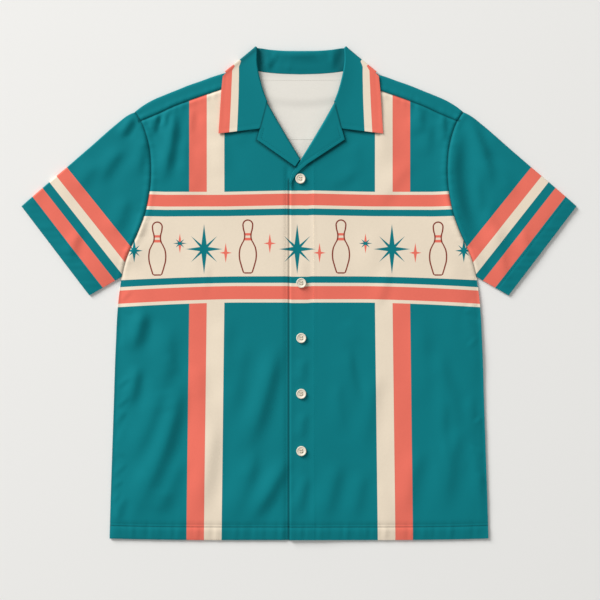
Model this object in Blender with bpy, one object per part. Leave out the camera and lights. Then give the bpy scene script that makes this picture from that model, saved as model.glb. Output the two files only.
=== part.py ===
"""A camp-collar bowling shirt laid flat, front up.

Lengths in the tables are millimetres. +Y runs to the collar, +Z up, and the origin is the middle of
the rest face. Each cloth piece is a grid of points in the middle of its cloth, given half a
thickness to each side.
"""

import math

import bmesh
import bpy
import numpy as np

MM = 0.001
CLOTH = 1.0  # thickness of the cloth
SEAM = 0.3  # gap between two pieces sewn together
LAYER = CLOTH + SEAM  # from one layer's middle to the next
FLOOR = CLOTH / 2  # middle of a layer that lies on the surface
LOFT = 2.2  # air between front and back, away from the seams

BACK_SEAM_Y = 231  # seam between the back and the yoke
LAP_X = -14  # free edge of the over front
TUCK_X = 18  # edge of the under front, inside the lap
COLLAR_X = 2.7  # middle of the collar and of the neck
NECK_HALF = 80.4  # half width of the neck hole on the shoulder fold
ROLL_INSET = 4  # from a lapel's fold back to the edge of the front below it


def table(columns, *rows):
    """A short table as one array for each named column."""
    return dict(zip(columns.split(), np.array(rows, float).T))


HEM_HALF, HEM_Y, HEM_RISE = 284.6, -370.6, 2.4  # half width of the hem, its middle, rise to its corners
HEM_CORNER, UNDERARM = (HEM_HALF, -371), (266.4, 25)
SIDE_SEAM = table(
    "y half", (-371, HEM_HALF), (-310, 283), (-235, 280.5), (-160, 278), (-85, 275.5), (-6, 270.7),
    (25, 266.4),
)
ARMHOLE = table(
    "y half", (25, 266.4), (45, 261.5), (69, 252.2), (90, 242.3), (124, 230.2), (150, 225),
    (168, 223), (192, 222.6), (217, 224.8), (239, 230), (258, 237.3), (272.5, 246.5),
)
# heights at which every piece has a point on the armhole seam, up to the yoke seams and the shoulder
ARMHOLE_ROWS = np.r_[np.linspace(25, BACK_SEAM_Y, 9), 244.7, 258.4, 265.5, 272.5]
BACK_ROWS, FRONT_ROWS = 9, 11
SHOULDER = table(
    "half y", (0, 352), (60, 346), (80, 340.6), (104, 332.9), (118, 329), (130, 325.3), (148, 318.7),
    (166, 312.5), (184, 305.2), (202, 298), (220, 290.2), (238, 279.3), (247, 272.2),
)
# heights on the armhole where rows of the yoke end: back layer, fold, and the front strip's two ends
YOKE_BACK_END, YOKE_FOLD_END, YOKE_STRIP_ENDS = 269, 271, (270, 259)
FORWARD_SEAM = table(
    "half y", (62, 327), (80, 320.3), (118, 305.6), (139, 298.4), (163, 290), (186, 281.5), (211, 270),
    (239, 258.2),
)
SEWN_AT_NECK = 320  # height at which a front's free edge meets the yoke, before its top edge is curved
SLEEVE_TOP = table(
    "x y", (246.5, 272.5), (256.5, 267.5), (274.5, 254), (310.5, 222.7), (346.5, 191.5), (382.5, 161),
    (417, 131),
)
SLEEVE_SLOPE = math.radians(40.3)  # of the sleeve's top fold
CUFF_BOTTOM = (315, -3)
# "out" is measured from COLLAR_X to either side
ROLL = table(
    "y out", (200.4, 0), (228.2, 17.1), (261.6, 36.8), (291.3, 51.6), (308.6, 57.3), (333.5, 63.5),
    (350.7, 65.9), (368, 66.4),
)
UNDER_EDGE = table("y x", (-371, TUCK_X), (160, TUCK_X), (174, 15.5), (188, 8), (198, 2.4))
OVER_EDGE = table("y x", (-371, LAP_X), (158, LAP_X), (167, -13), (180.5, -7.8), (187, -3.3), (198, 3.3))
NECK_EDGE = table("y out", (287, 56.5), (296, 68.2), (307, 76.8), (320, 80.4), (333, 80.4))
SIDE_PUFF, HEM_PUFF = 42, 34  # how far in from an edge the front has risen to its full height
# largest soft folds of the fronts: ridge from one end to the other
FOLDS = table(
    "x0 y0 x1 y1 width height",
    (-190, 262, -208, 168, 13, 1.3),
    (214, 256, 217, 190, 14, 1.0),
    (-178, -132, -240, -318, 16, 1.4),
    (-27, -111, -67, -201, 14, 0.8),
    (-20, -262, -80, -343, 15, 1.0),
    (-246, -28, -262, -110, 14, 1.0),
    (243, -150, 262, -262, 15, 0.9),
    (180, -240, 150, -340, 16, 0.7),
)
BUTTONS = table("x y", (2.1, 171.9), (3.3, 15.5), (3.3, -67), (3.3, -150.6), (3.5, -236.5))
BUTTON_RADIUS, BUTTON_HEIGHT, RIM_WIDTH, DISH_DEPTH = 7.5, 2.8, 1.6, 0.6
HOLE_RADIUS, HOLE_SPACING = 0.95, 3.4

TEAL, CORAL, CREAM = (0.007, 0.175, 0.202), (0.855, 0.198, 0.141), (0.799, 0.686, 0.546)


def smooth(at, places, values):
    """A smooth curve through the places and values of a table, read at the given places."""
    at = np.clip(at, places[0], places[-1])
    slopes = np.gradient(values, places)
    i = np.clip(np.searchsorted(places, at) - 1, 0, len(places) - 2)
    width = places[i + 1] - places[i]
    t = (at - places[i]) / width
    rise = t * t * (3 - 2 * t)
    bend = t * (1 - t) ** 2 * slopes[i] + t * t * (t - 1) * slopes[i + 1]
    return values[i] + rise * (values[i + 1] - values[i]) + width * bend


def route(points, at):
    """Points at the given shares, 0 to 1, of the straight run through a few points."""
    points = np.array(points, float)
    lengths = np.r_[0, np.cumsum(np.linalg.norm(np.diff(points, axis=0), axis=1))]
    return np.stack([np.interp(at * lengths[-1], lengths, column) for column in points.T], axis=-1)


def ease(t):
    t = np.clip(t, 0, 1)
    return t * t * (3 - 2 * t)


def rounded(t):
    t = np.clip(t, 0, 1)
    return t * (2 - t)


def distance(x, y, start, end):
    """Distance in plan from each point to one straight line."""
    along = np.subtract(end, start)
    t = np.clip(((x - start[0]) * along[0] + (y - start[1]) * along[1]) / (along @ along), 0, 1)
    return np.hypot(x - start[0] - t * along[0], y - start[1] - t * along[1]), t


def armhole_half(y):
    """Half width of the body at the armhole seam, straight between the rows that all pieces share."""
    return np.interp(y, ARMHOLE_ROWS, smooth(ARMHOLE_ROWS, *ARMHOLE.values()))


def hem_y(x):
    return HEM_Y + HEM_RISE * (np.abs(x) / HEM_HALF) ** 4


def front_height(x, y):
    """Middle of the front cloth: low along the hem, side seam and underarm, lofted between."""
    side, _ = distance(np.abs(x), y, HEM_CORNER, UNDERARM)
    under, _ = distance(np.abs(x), y, UNDERARM, CUFF_BOTTOM)
    puff = rounded(np.minimum(side, under) / SIDE_PUFF) * rounded((y - hem_y(x)) / HEM_PUFF)
    height = FLOOR + LAYER + LOFT * puff
    for x0, y0, x1, y1, width, rise in zip(*FOLDS.values()):
        away, t = distance(x, y, (x0, y0), (x1, y1))
        along = np.sin(np.pi * np.clip(t, 0.08, 0.92))
        height = height + rise * puff * along * np.exp(-((away / width) ** 2))
    return height


def over_height(x, y):
    """The same on the over front, one layer up where it laps over the under front."""
    return front_height(x, y) + LAYER * ease((50 - x) / 26)


def unit(vectors):
    return vectors / np.maximum(np.linalg.norm(vectors, axis=-1, keepdims=True), 1e-9)


def tangents(grid, axis):
    steps = unit(np.diff(grid, axis=axis))
    before = np.concatenate([np.take(steps, [0], axis), steps], axis)
    after = np.concatenate([steps, np.take(steps, [-1], axis)], axis)
    return unit(before + after)


def material(name, colour, roughness=0.8):
    made = bpy.data.materials.new(name)
    made.use_nodes = True
    shader = made.node_tree.nodes["Principled BSDF"]
    shader.inputs["Base Color"].default_value = (*colour, 1)
    shader.inputs["Roughness"].default_value = roughness
    return made


def cloth(name, grid, finish, kept=None):
    """One closed piece of cloth about a grid of points; kept says which cells of the grid it has."""
    rows, columns = grid.shape[0] - 1, grid.shape[1] - 1
    kept = np.ones((rows, columns), bool) if kept is None else kept
    offset = unit(np.cross(tangents(grid, 1), tangents(grid, 0))) * CLOTH / 2
    faces_of = (grid + offset) * MM, (grid - offset) * MM
    shell = bmesh.new()
    corner = {}

    def vertex(side, i, j):
        if (side, i, j) not in corner:
            corner[side, i, j] = shell.verts.new(faces_of[side][i, j])
        return corner[side, i, j]

    for i, j in zip(*np.nonzero(kept)):
        ring = [(i, j), (i, j + 1), (i + 1, j + 1), (i + 1, j)]
        shell.faces.new([vertex(0, *at) for at in ring])
        shell.faces.new([vertex(1, *at) for at in reversed(ring)])
        beyond = [(i - 1, j), (i, j + 1), (i + 1, j), (i, j - 1)]
        for start, end, (row, column) in zip(ring, ring[1:] + ring[:1], beyond):
            if 0 <= row < rows and 0 <= column < columns and kept[row, column]:
                continue
            shell.faces.new([vertex(0, *end), vertex(0, *start), vertex(1, *start), vertex(1, *end)])
    mesh = bpy.data.meshes.new(name)
    shell.to_mesh(mesh)
    shell.free()
    mesh.materials.append(finish)
    mesh.shade_smooth()
    mesh.set_sharp_from_angle(angle=math.radians(50))
    piece = bpy.data.objects.new(name, mesh)
    bpy.context.scene.collection.objects.link(piece)
    return piece


def make_back(finish):
    """Lower back: flat on the surface from hem to yoke seam."""
    underarm = UNDERARM[1]
    rows = np.r_[np.linspace(0, 1, 9), ARMHOLE_ROWS[1:BACK_ROWS]]
    row, side = np.meshgrid(rows, np.linspace(-1, 1, 13), indexing="ij")
    y = np.where(row <= 1, hem_y(side * HEM_HALF) * (1 - row) + underarm * row, row)
    y = np.minimum(y, BACK_SEAM_Y - SEAM / 2)
    half = np.where(y <= underarm, smooth(y, *SIDE_SEAM.values()), armhole_half(y) - SEAM / 2)
    cloth("back", np.stack([side * half, y, np.full_like(y, FLOOR)], -1), finish)


def under_collar(x, y):
    """1 where the yoke lies on the collar's fall, 0 away from it."""
    out = np.abs(x - COLLAR_X)
    fall_edge = FALL_Y + FALL_RISE * (out / FALL_HALF) ** 2
    return ease((y - fall_edge + 24) / 14) * ease((FALL_HALF + 15.5 - out) / 12)


def make_yoke(finish):
    """Back layer, round fold over each shoulder, and the front strip down to the forward seam."""
    outer = np.linspace(0, 1, 11)
    neck = np.linspace(-1, 1, 15)[1:-1]
    share = np.r_[-outer[::-1] - 1, neck, outer + 1]  # 1 to 2 from neck hole to armhole, on each side
    side = np.where(share < 0, -1, 1)
    past_neck = np.clip(np.abs(share) - 1, 0, 1)
    in_neck = np.clip(share, -1, 1) * NECK_HALF + COLLAR_X

    def across(end_half):
        """x of every column on a row that ends at this half width."""
        return in_neck + past_neck * (side * (end_half - SEAM / 2) - in_neck)

    rows = []
    for t in np.linspace(0, 1, 7):  # back layer, seam to neck or to just short of the fold
        end_y = BACK_SEAM_Y + t * (YOKE_BACK_END - BACK_SEAM_Y)
        x = across(armhole_half(end_y))
        neck_y = smooth(np.abs(x - COLLAR_X), *BACK_NECK.values()) - 2 * SEAM
        top = np.where(np.abs(share) < 1, neck_y, smooth(np.abs(x), *SHOULDER.values()) - 3)
        y = BACK_SEAM_Y + SEAM / 2 + t * (top - BACK_SEAM_Y)
        rows.append(np.stack([x, y, FLOOR + LAYER * under_collar(x, y)], -1))
    neck_row = len(rows) - 1
    x = across(armhole_half(YOKE_FOLD_END))
    fold = smooth(np.abs(x), *SHOULDER.values()) - CLOTH / 2
    low, high = FLOOR + LAYER * under_collar(x, fold), front_height(x, fold)
    radius = (high - low) / 2
    for angle in np.radians([-75, -40, 0, 40, 75]):
        y = fold - radius * (1 - math.cos(angle))
        rows.append(np.stack([x, y, (low + high) / 2 + radius * math.sin(angle)], -1))
    for t in np.linspace(0.12, 1, 4):  # front strip, fold to forward seam
        x = across(armhole_half(np.interp(t, (0, 1), YOKE_STRIP_ENDS)))
        start = smooth(np.abs(x), *SHOULDER.values()) - CLOTH / 2 - radius
        y = start + t * (smooth(np.abs(x), *FORWARD_SEAM.values()) + SEAM / 2 - start)
        rows.append(np.stack([x, y, front_height(x, y)], -1))
    grid = np.stack(rows)
    kept = np.ones((grid.shape[0] - 1, grid.shape[1] - 1), bool)
    first = len(outer) - 1
    kept[neck_row:, first : first + len(neck) + 1] = False
    cloth("yoke", grid, finish, kept)


def make_front(name, side, edge, height, finish):
    """One front from hem to forward seam; side is -1 or 1, edge the table of its free edge."""
    turn = ROLL["y"] < NECK_EDGE["y"][0] - ROLL_INSET
    rolled = COLLAR_X + side * (ROLL["out"][turn][1:] + ROLL_INSET)
    ys = np.r_[edge["y"], ROLL["y"][turn][1:], NECK_EDGE["y"]]
    xs = np.r_[edge["x"], rolled, COLLAR_X + side * NECK_EDGE["out"]]
    rows = []
    underarm, top_in, top_out = UNDERARM[1], SEWN_AT_NECK, ARMHOLE_ROWS[FRONT_ROWS - 1]
    hem_in, hem_out = hem_y(0), hem_y(HEM_HALF)
    extra = (ARMHOLE_ROWS[BACK_ROWS - 1 : FRONT_ROWS - 1] + ARMHOLE_ROWS[BACK_ROWS:FRONT_ROWS]) / 2
    upper = (np.sort(np.r_[ARMHOLE_ROWS[1:FRONT_ROWS], extra]) - underarm) / (top_out - underarm)
    t = np.linspace(0, 1, 13)
    top_x = np.interp(top_in, ys, xs) * (1 - t) + side * (armhole_half(top_out) - SEAM / 2) * t
    sewn = smooth(np.abs(top_x), *FORWARD_SEAM.values()) - SEAM / 2 - (top_in + t * (top_out - top_in))
    for share in np.r_[np.linspace(0, 1, 14), 1 + upper]:
        past, low = max(share - 1, 0), min(share, 1)
        inner_y = hem_in + low * (underarm - hem_in) + past * (top_in - underarm)
        outer_y = hem_out + low * (underarm - hem_out) + past * (top_out - underarm)
        seam = armhole_half(outer_y) - SEAM / 2 if past else smooth(outer_y, *SIDE_SEAM.values())
        inner_x = np.interp(inner_y, ys, xs)
        x = inner_x + t * (side * seam - inner_x)
        y = inner_y + t * (outer_y - inner_y)
        hem = hem_y(x) - (hem_in + t * (hem_out - hem_in))
        y = y + (1 - share) * hem if share < 1 else y + past**2 * sewn
        rows.append(np.stack([x, y, height(x, y)], -1))
    grid = np.stack(rows)
    cloth(name, grid if side > 0 else grid[:, ::-1], finish)


def make_sleeve(name, side, finish):
    """Front layer from underarm to top fold, round the fold, and the back layer down again."""
    along = np.linspace(0, 1, 9)
    up = (ARMHOLE_ROWS - ARMHOLE_ROWS[0]) / np.ptp(ARMHOLE_ROWS)
    out = np.array([math.sin(SLEEVE_SLOPE), math.cos(SLEEVE_SLOPE)])
    seam_x = smooth(ARMHOLE_ROWS, *ARMHOLE.values()) + SEAM / 2 + 0.6 * up**4
    armhole = np.stack([seam_x, ARMHOLE_ROWS], -1)
    top_x = seam_x[-1] + along * (SLEEVE_TOP["x"][-1] - seam_x[-1])
    top = np.stack([top_x, smooth(top_x, *SLEEVE_TOP.values())], -1)
    high = front_height(*top.T)
    radius = (high - FLOOR) / 2
    inset = top - out * (radius + CLOTH / 2)[:, None]
    armhole = armhole + up[:, None] ** 18 * (inset[0] - armhole[-1])
    cuff = route([CUFF_BOTTOM, inset[-1]], up)
    under = route([armhole[0], CUFF_BOTTOM], along)
    u, v = np.meshgrid(along, up)
    u, v = u[..., None], v[..., None]
    flat = (1 - u) * armhole[:, None] + u * cuff[:, None] + (1 - v) * under + v * inset
    flat -= (1 - u) * (1 - v) * armhole[0] + u * (1 - v) * cuff[0]
    flat -= (1 - u) * v * inset[0] + u * v * inset[-1]
    front = np.concatenate([flat, front_height(flat[..., 0], flat[..., 1])[..., None]], -1)
    back = np.concatenate([flat, np.full(flat.shape[:2] + (1,), FLOOR)], -1)
    fold = []
    for angle in np.radians([50, 0, -50]):
        plan = inset + out * (radius * math.cos(angle))[:, None]
        fold.append(np.c_[plan, FLOOR + radius * (1 + math.sin(angle))])
    grid = np.concatenate([front, np.stack(fold), back[::-1]])
    grid[..., 0] *= side
    cloth(name, grid if side < 0 else grid[:, ::-1], finish)


# Collar: seam to the neck (sewn), roll and outer edge at stations from the middle of the back
BACK_NECK = table("out y", (0, 329.3), (35, 330.6), (61, 333.5), (72, 336), (78.5, 338), (80, 338.3))
BACK_ROLL = table("out y", (0, 364), (28, 364.5), (48, 366.3), (59, 368), (65.5, 368.7))
BACK_EDGE = table("out y", (0, 302), (60, 310), (111.6, 330.8))
FALL_Y, FALL_RISE, FALL_HALF = 302, 29, 113.5  # the same edge as one plain curve, for the yoke over it
FRONT_NECK = table("y out", (288.3, 55), (296, 66), (307, 75), (320, 79.1), (330, 79.2), (338, 78.5))
# on the front, from the shoulder to the gorge seam; lift is the air inside the roll
FRONT_STATIONS = table(
    "roll neck lift", (350, 331, 1.6), (333, 321, 1.5), (318, 308, 1.3), (303, 297, 1.1),
    (286.6, 288.3, 0.9),
)
RIDGE_ROLL, RIDGE_NECK, RIDGE_LIFT = (65.5, 368.7), (78.5, 338), 1.7  # the first of them, on the shoulder
LEAF_OUTER = [(111.6, 330.8), (117, 326), (119.3, 303), (123.4, 239.7)]
NOTCH, LEAF_POINT = (61, 247.4), (123.4, 239.7)
NOTCH_SHARE = 0.388  # of the way along the leaf's lower edge
LAPEL_GORGE, LAPEL_NOTCH, LAPEL_TIP = (49.5, 283.6), (60.3, 247.1), (65.8, 230.7)
UNDER_ROLL = [LAPEL_GORGE, (36.8, 261.6), (17.1, 228.2), (0.9, 201.8)]
UNDER_OUTER = [LAPEL_NOTCH, LAPEL_TIP, (8.6, 190.4)]
OVER_ROLL = UNDER_ROLL[:3] + [(0, 200.4), (-7.7, 187), (-12.5, 180.5), (-16.9, 167)]
OVER_OUTER = [LAPEL_NOTCH, LAPEL_TIP, (9.5, 193.8), (-0.7, 185), (-7.2, 177.8), (-13.0, 169), (-14.7, 157)]
RIDGE_OUT = np.array([0.638, 0.77])  # square to the collar's fold over the shoulder


def leaf_grid(rolled, across):
    """Plan of the collar's leaf on the front: from the roll (first column) to its outer edge."""
    down = np.linspace(0, 1, len(rolled))
    outer = route(LEAF_OUTER, down)
    ridge = rolled[0] + across[:, None] * (outer[0] - rolled[0])
    low = route([rolled[-1], NOTCH, LEAF_POINT], across)
    v, m = down[:, None, None], across[None, :, None]
    plan = (1 - m) * rolled[:, None] + m * outer[:, None] + (1 - v) * ridge + v * low
    plan = plan - (1 - v) * (1 - m) * rolled[0] - (1 - v) * m * outer[0]
    return plan - v * (1 - m) * rolled[-1] - v * m * outer[-1]


def station(neck, roll, stand_low, stand_high, fall_high):
    """Plan and height of one profile: neck seam, stand, and round the roll."""
    towards = unit(roll - neck)
    radius = (fall_high - stand_high) / 2
    end = roll - towards * (abs(radius) + CLOTH / 2)
    turn = np.radians([0, 45, 90, 135, 180])
    plan = [neck, (neck + end) / 2] + [end + towards * abs(radius) * math.sin(a) for a in turn]
    z = [stand_low, (stand_low + stand_high) / 2] + [stand_high + radius * (1 - math.cos(a)) for a in turn]
    return np.array(plan), np.array(z)


def half_collar(side):
    """Stations from the middle of the back over the shoulder to the gorge; side is -1 or 1."""
    across = np.r_[0, 0.1, 0.2, NOTCH_SHARE, 0.55, 0.7, 0.85, 1]
    cloth_height = over_height if side > 0 else front_height
    back = []
    for t in np.linspace(0, 1, 7):
        neck, roll, edge = (
            np.array([t * rows["out"][last], smooth(t * rows["out"][last], *rows.values())])
            for rows, last in ((BACK_NECK, -2), (BACK_ROLL, -1), (BACK_EDGE, -1))
        )
        crest = FLOOR + LAYER + 0.6 + 2.0 * (1 - ease(t))
        plan, z = station(neck, roll, FLOOR + LAYER, crest, FLOOR)
        fall = plan[-1] + across[1:, None] * (edge - plan[-1])
        back.append(np.c_[np.r_[plan, fall], np.r_[z, np.full(len(fall), FLOOR)]])
    rolls, necks, lifts = [np.array(RIDGE_ROLL)], [np.array(RIDGE_NECK)], [RIDGE_LIFT]
    for roll_y, neck_y, lift in zip(*FRONT_STATIONS.values()):
        rolls.append(np.array([smooth(roll_y, *ROLL.values()), roll_y]))
        necks.append(np.array([smooth(neck_y, *FRONT_NECK.values()), neck_y]))
        lifts.append(lift)
    profiles = []
    for roll, neck, lift in zip(rolls, necks, lifts):
        level = cloth_height(COLLAR_X + side * roll[0], roll[1])
        profiles.append(station(neck, roll, level, level, level + LAYER + lift))
    leaf = leaf_grid(np.array([plan[-1] for plan, _ in profiles]), across)
    front = []
    for (plan, z), lift, flat in zip(profiles, lifts, leaf):
        body = cloth_height(COLLAR_X + side * flat[:, 0], flat[:, 1])
        reach = np.linalg.norm(flat - flat[0], axis=1)
        height = body + LAYER + lift * (1 - rounded(reach / 34))
        front.append(np.c_[np.r_[plan, flat[1:]], np.r_[z, height[1:]]])
    ridge = []
    low, high = back[-1], front[0]
    radius = (high[:, 2] - low[:, 2]) / 2
    for angle in np.radians([-50, 0, 50]):
        middle = (low + high) / 2
        middle[:, :2] += RIDGE_OUT * (radius * math.cos(angle))[:, None]
        middle[:, 2] += radius * math.sin(angle)
        ridge.append(middle)
    half = np.stack(back + ridge + front)
    half[..., 0] = COLLAR_X + side * half[..., 0]
    return half


def make_collar(finish):
    grid = np.concatenate([half_collar(-1)[::-1], half_collar(1)[1:]])
    cloth("collar", grid.transpose(1, 0, 2), finish)


def make_lapel(name, side, roll, outer, height, finish):
    """A turned-out lapel: its fold hides the edge of the front, and its leaf lies on the front."""
    share = np.linspace(0, 1, 15)
    fold, edge = route(roll, share), route(outer, share)
    direction = unit(edge - fold)
    along = unit(np.gradient(fold, axis=0))
    away = np.stack([-along[:, 1], along[:, 0]], -1)
    away = away * np.sign((away * direction).sum(-1, keepdims=True))
    narrow = np.minimum(1, np.linalg.norm(edge - fold, axis=1) / 6)
    columns = []
    for inset, rise in ((0.5, -0.3), (0.5, 0.6), (0.9, 1.4), (2.0, 1.9)):  # round the roll
        columns.append((fold + away * (inset * narrow)[:, None], rise))
    for t in (0.25, 0.5, 0.75, 1.0):
        columns.append((fold + (edge - fold) * t, None))
    grid = []
    for plan, rise in columns:
        x, y = COLLAR_X + side * plan[:, 0], plan[:, 1]
        reach = np.linalg.norm(plan - fold, axis=1)
        lift = LAYER + SEAM + 0.4 * (1 - rounded(reach / 20)) if rise is None else rise
        grid.append(np.stack([x, y, height(x, y) + lift], -1))
    grid = np.stack(grid)
    cloth(name, grid if side < 0 else grid[:, ::-1], finish)


def make_button(number, x, y, finish):
    """A turned four-hole button with a raised rim."""
    bottom = over_height(x, y) + CLOTH / 2 + SEAM
    dish = BUTTON_HEIGHT - DISH_DEPTH
    profile = [
        (0, 0), (BUTTON_RADIUS - 1.2, 0), (BUTTON_RADIUS, 1.2), (BUTTON_RADIUS - 0.3, BUTTON_HEIGHT - 0.3),
        (BUTTON_RADIUS - 0.8, BUTTON_HEIGHT), (BUTTON_RADIUS - RIM_WIDTH, dish), (0, dish),
    ]
    turned = bmesh.new()
    points = [turned.verts.new((r * MM, 0, z * MM)) for r, z in profile]
    edges = [turned.edges.new(pair) for pair in zip(points, points[1:])]
    bmesh.ops.spin(turned, geom=points + edges, axis=(0, 0, 1), cent=(0, 0, 0), steps=20, angle=math.tau)
    bmesh.ops.remove_doubles(turned, verts=turned.verts, dist=1e-6)
    bmesh.ops.recalc_face_normals(turned, faces=turned.faces)
    mesh = bpy.data.meshes.new(f"button_{number}")
    turned.to_mesh(mesh)
    turned.free()
    mesh.materials.append(finish)
    button = bpy.data.objects.new(f"button_{number}", mesh)
    button.location = (x * MM, y * MM, float(bottom) * MM)
    bpy.context.scene.collection.objects.link(button)
    holes = bmesh.new()
    reach = HOLE_SPACING / math.sqrt(2) * MM
    for corner in range(4):
        angle = math.pi / 4 + corner * math.pi / 2
        made = bmesh.ops.create_cone(
            holes, cap_ends=True, segments=8, depth=4 * BUTTON_HEIGHT * MM,
            radius1=HOLE_RADIUS * MM, radius2=HOLE_RADIUS * MM,
        )
        away = (reach * math.cos(angle), reach * math.sin(angle), 0)
        bmesh.ops.translate(holes, verts=made["verts"], vec=away)
    cutter_mesh = bpy.data.meshes.new("button_holes")
    holes.to_mesh(cutter_mesh)
    holes.free()
    cutter = bpy.data.objects.new(f"holes_{number}", cutter_mesh)
    cutter.location = button.location
    cutter.hide_render = True
    cutter.display_type = "WIRE"
    bpy.context.scene.collection.objects.link(cutter)
    cut = button.modifiers.new("holes", "BOOLEAN")
    cut.operation = "DIFFERENCE"
    cut.object = cutter


def main():
    for old in list(bpy.data.objects):
        bpy.data.objects.remove(old)
    teal, stripe = material("teal cloth", TEAL), material("striped collar", CORAL)
    cream = material("button", CREAM, 0.35)
    make_back(teal)
    make_yoke(teal)
    make_front("front_right", -1, UNDER_EDGE, front_height, teal)
    make_front("front_left", 1, OVER_EDGE, over_height, teal)
    make_sleeve("sleeve_right", -1, teal)
    make_sleeve("sleeve_left", 1, teal)
    make_collar(stripe)
    make_lapel("lapel_right", -1, UNDER_ROLL, UNDER_OUTER, front_height, teal)
    make_lapel("lapel_left", 1, OVER_ROLL, OVER_OUTER, over_height, teal)
    for number, (x, y) in enumerate(zip(*BUTTONS.values()), 1):
        make_button(number, x, y, cream)


main()
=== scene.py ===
# %% [markdown]
# # A bowling shirt laid flat
#
# This notebook dresses a plain model of a camp-collar bowling shirt. The model gives every piece its
# place and its outline. Here each cut piece of cloth is made again as a fine sheet, with the soft
# folds of a shirt that was smoothed out by hand, and gets its printed cloth, its seams and stitches,
# and its buttons.

# %% Load the fixed frame
import math
import random

import bmesh
import bpy
import numpy as np
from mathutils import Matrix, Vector
from mathutils.bvhtree import BVHTree


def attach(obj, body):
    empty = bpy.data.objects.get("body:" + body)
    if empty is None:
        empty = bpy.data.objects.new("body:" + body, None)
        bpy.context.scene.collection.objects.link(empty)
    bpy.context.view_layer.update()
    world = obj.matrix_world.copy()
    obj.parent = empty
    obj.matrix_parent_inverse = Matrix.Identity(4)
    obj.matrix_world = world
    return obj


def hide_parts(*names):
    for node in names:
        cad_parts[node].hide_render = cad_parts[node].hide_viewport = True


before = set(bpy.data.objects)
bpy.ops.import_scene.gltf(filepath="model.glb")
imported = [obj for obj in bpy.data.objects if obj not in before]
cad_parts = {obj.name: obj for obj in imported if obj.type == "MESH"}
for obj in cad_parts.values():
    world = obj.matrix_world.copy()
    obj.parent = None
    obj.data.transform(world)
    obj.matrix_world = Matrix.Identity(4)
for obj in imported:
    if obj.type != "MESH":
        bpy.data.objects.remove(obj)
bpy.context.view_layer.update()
MM = 0.001  # the tables below are in millimetres
print("nodes in the frame:", ", ".join(sorted(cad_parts)))

# %% [markdown]
# ## Floor, light and camera
#
# A flat-lay is shot from straight above on a pale board. One very large soft light stands low on the
# upper left, so that shallow folds in the cloth still show, and the pale world around fills the
# shadows. A long lens keeps the sleeves from looking wider than they are.


# %% Floor
def deselect():
    bpy.ops.object.select_all(action="DESELECT")


def paint_flat(name, colour, roughness):
    """A material with one colour, for what isn't cloth."""
    made = bpy.data.materials.new(name)
    made.use_nodes = True
    shader = made.node_tree.nodes["Principled BSDF"]
    shader.inputs["Base Color"].default_value = (*colour, 1)
    shader.inputs["Roughness"].default_value = roughness
    return made


BOARD_SIZE, BOARD_TOP, BOARD_COLOUR = 12, -0.0004, (0.828, 0.822, 0.80)  # metres, and its light
deselect()
bpy.ops.mesh.primitive_plane_add(size=BOARD_SIZE, location=(0, 0, BOARD_TOP))
floor = bpy.context.object
floor.name = "floor"
floor.data.materials.append(paint_flat("pale board", BOARD_COLOUR, 0.9))
print("the board is", BOARD_SIZE, "m wide")

# %% Lights and camera
world = bpy.data.worlds.new("pale room")
bpy.context.scene.world = world
world.use_nodes = True
world.node_tree.nodes["Background"].inputs["Color"].default_value = (1.0, 0.995, 0.985, 1)
world.node_tree.nodes["Background"].inputs["Strength"].default_value = 0.41


def add_softbox(name, place, target, size, power):
    """A square area light at a place, turned to face a target."""
    deselect()
    bpy.ops.object.light_add(type="AREA", location=place)
    light = bpy.context.object
    light.name = name
    light.data.size = size
    light.data.energy = power
    light.rotation_euler = (Vector(target) - Vector(place)).to_track_quat("-Z", "Y").to_euler()


add_softbox("key light", (-7.5, 7.5, 4.9), (0, 0, 0), 5.5, 1900)
add_softbox("fill light", (2.2, -1.4, 2.6), (0, 0, 0), 2.5, 5)

CAMERA_PLACE, LENS = (0.0015, -0.010, 2.256), 90
deselect()
bpy.ops.object.camera_add(location=CAMERA_PLACE, rotation=(0, 0, 0))
camera = bpy.context.object
camera.data.lens = LENS
camera.data.sensor_width = 36
camera.data.clip_end = 50
bpy.context.scene.camera = camera
bpy.context.scene.view_settings.view_transform = "Standard"
print("camera at", tuple(round(v, 3) for v in camera.location))

# %% [markdown]
# ## Shader arithmetic
#
# The print is drawn by sums on the place of each point: bands, stripes, stars and pins. Written as
# separate nodes that would be hard to read, so a small class lets Python's own signs add the Math
# nodes.


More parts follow.
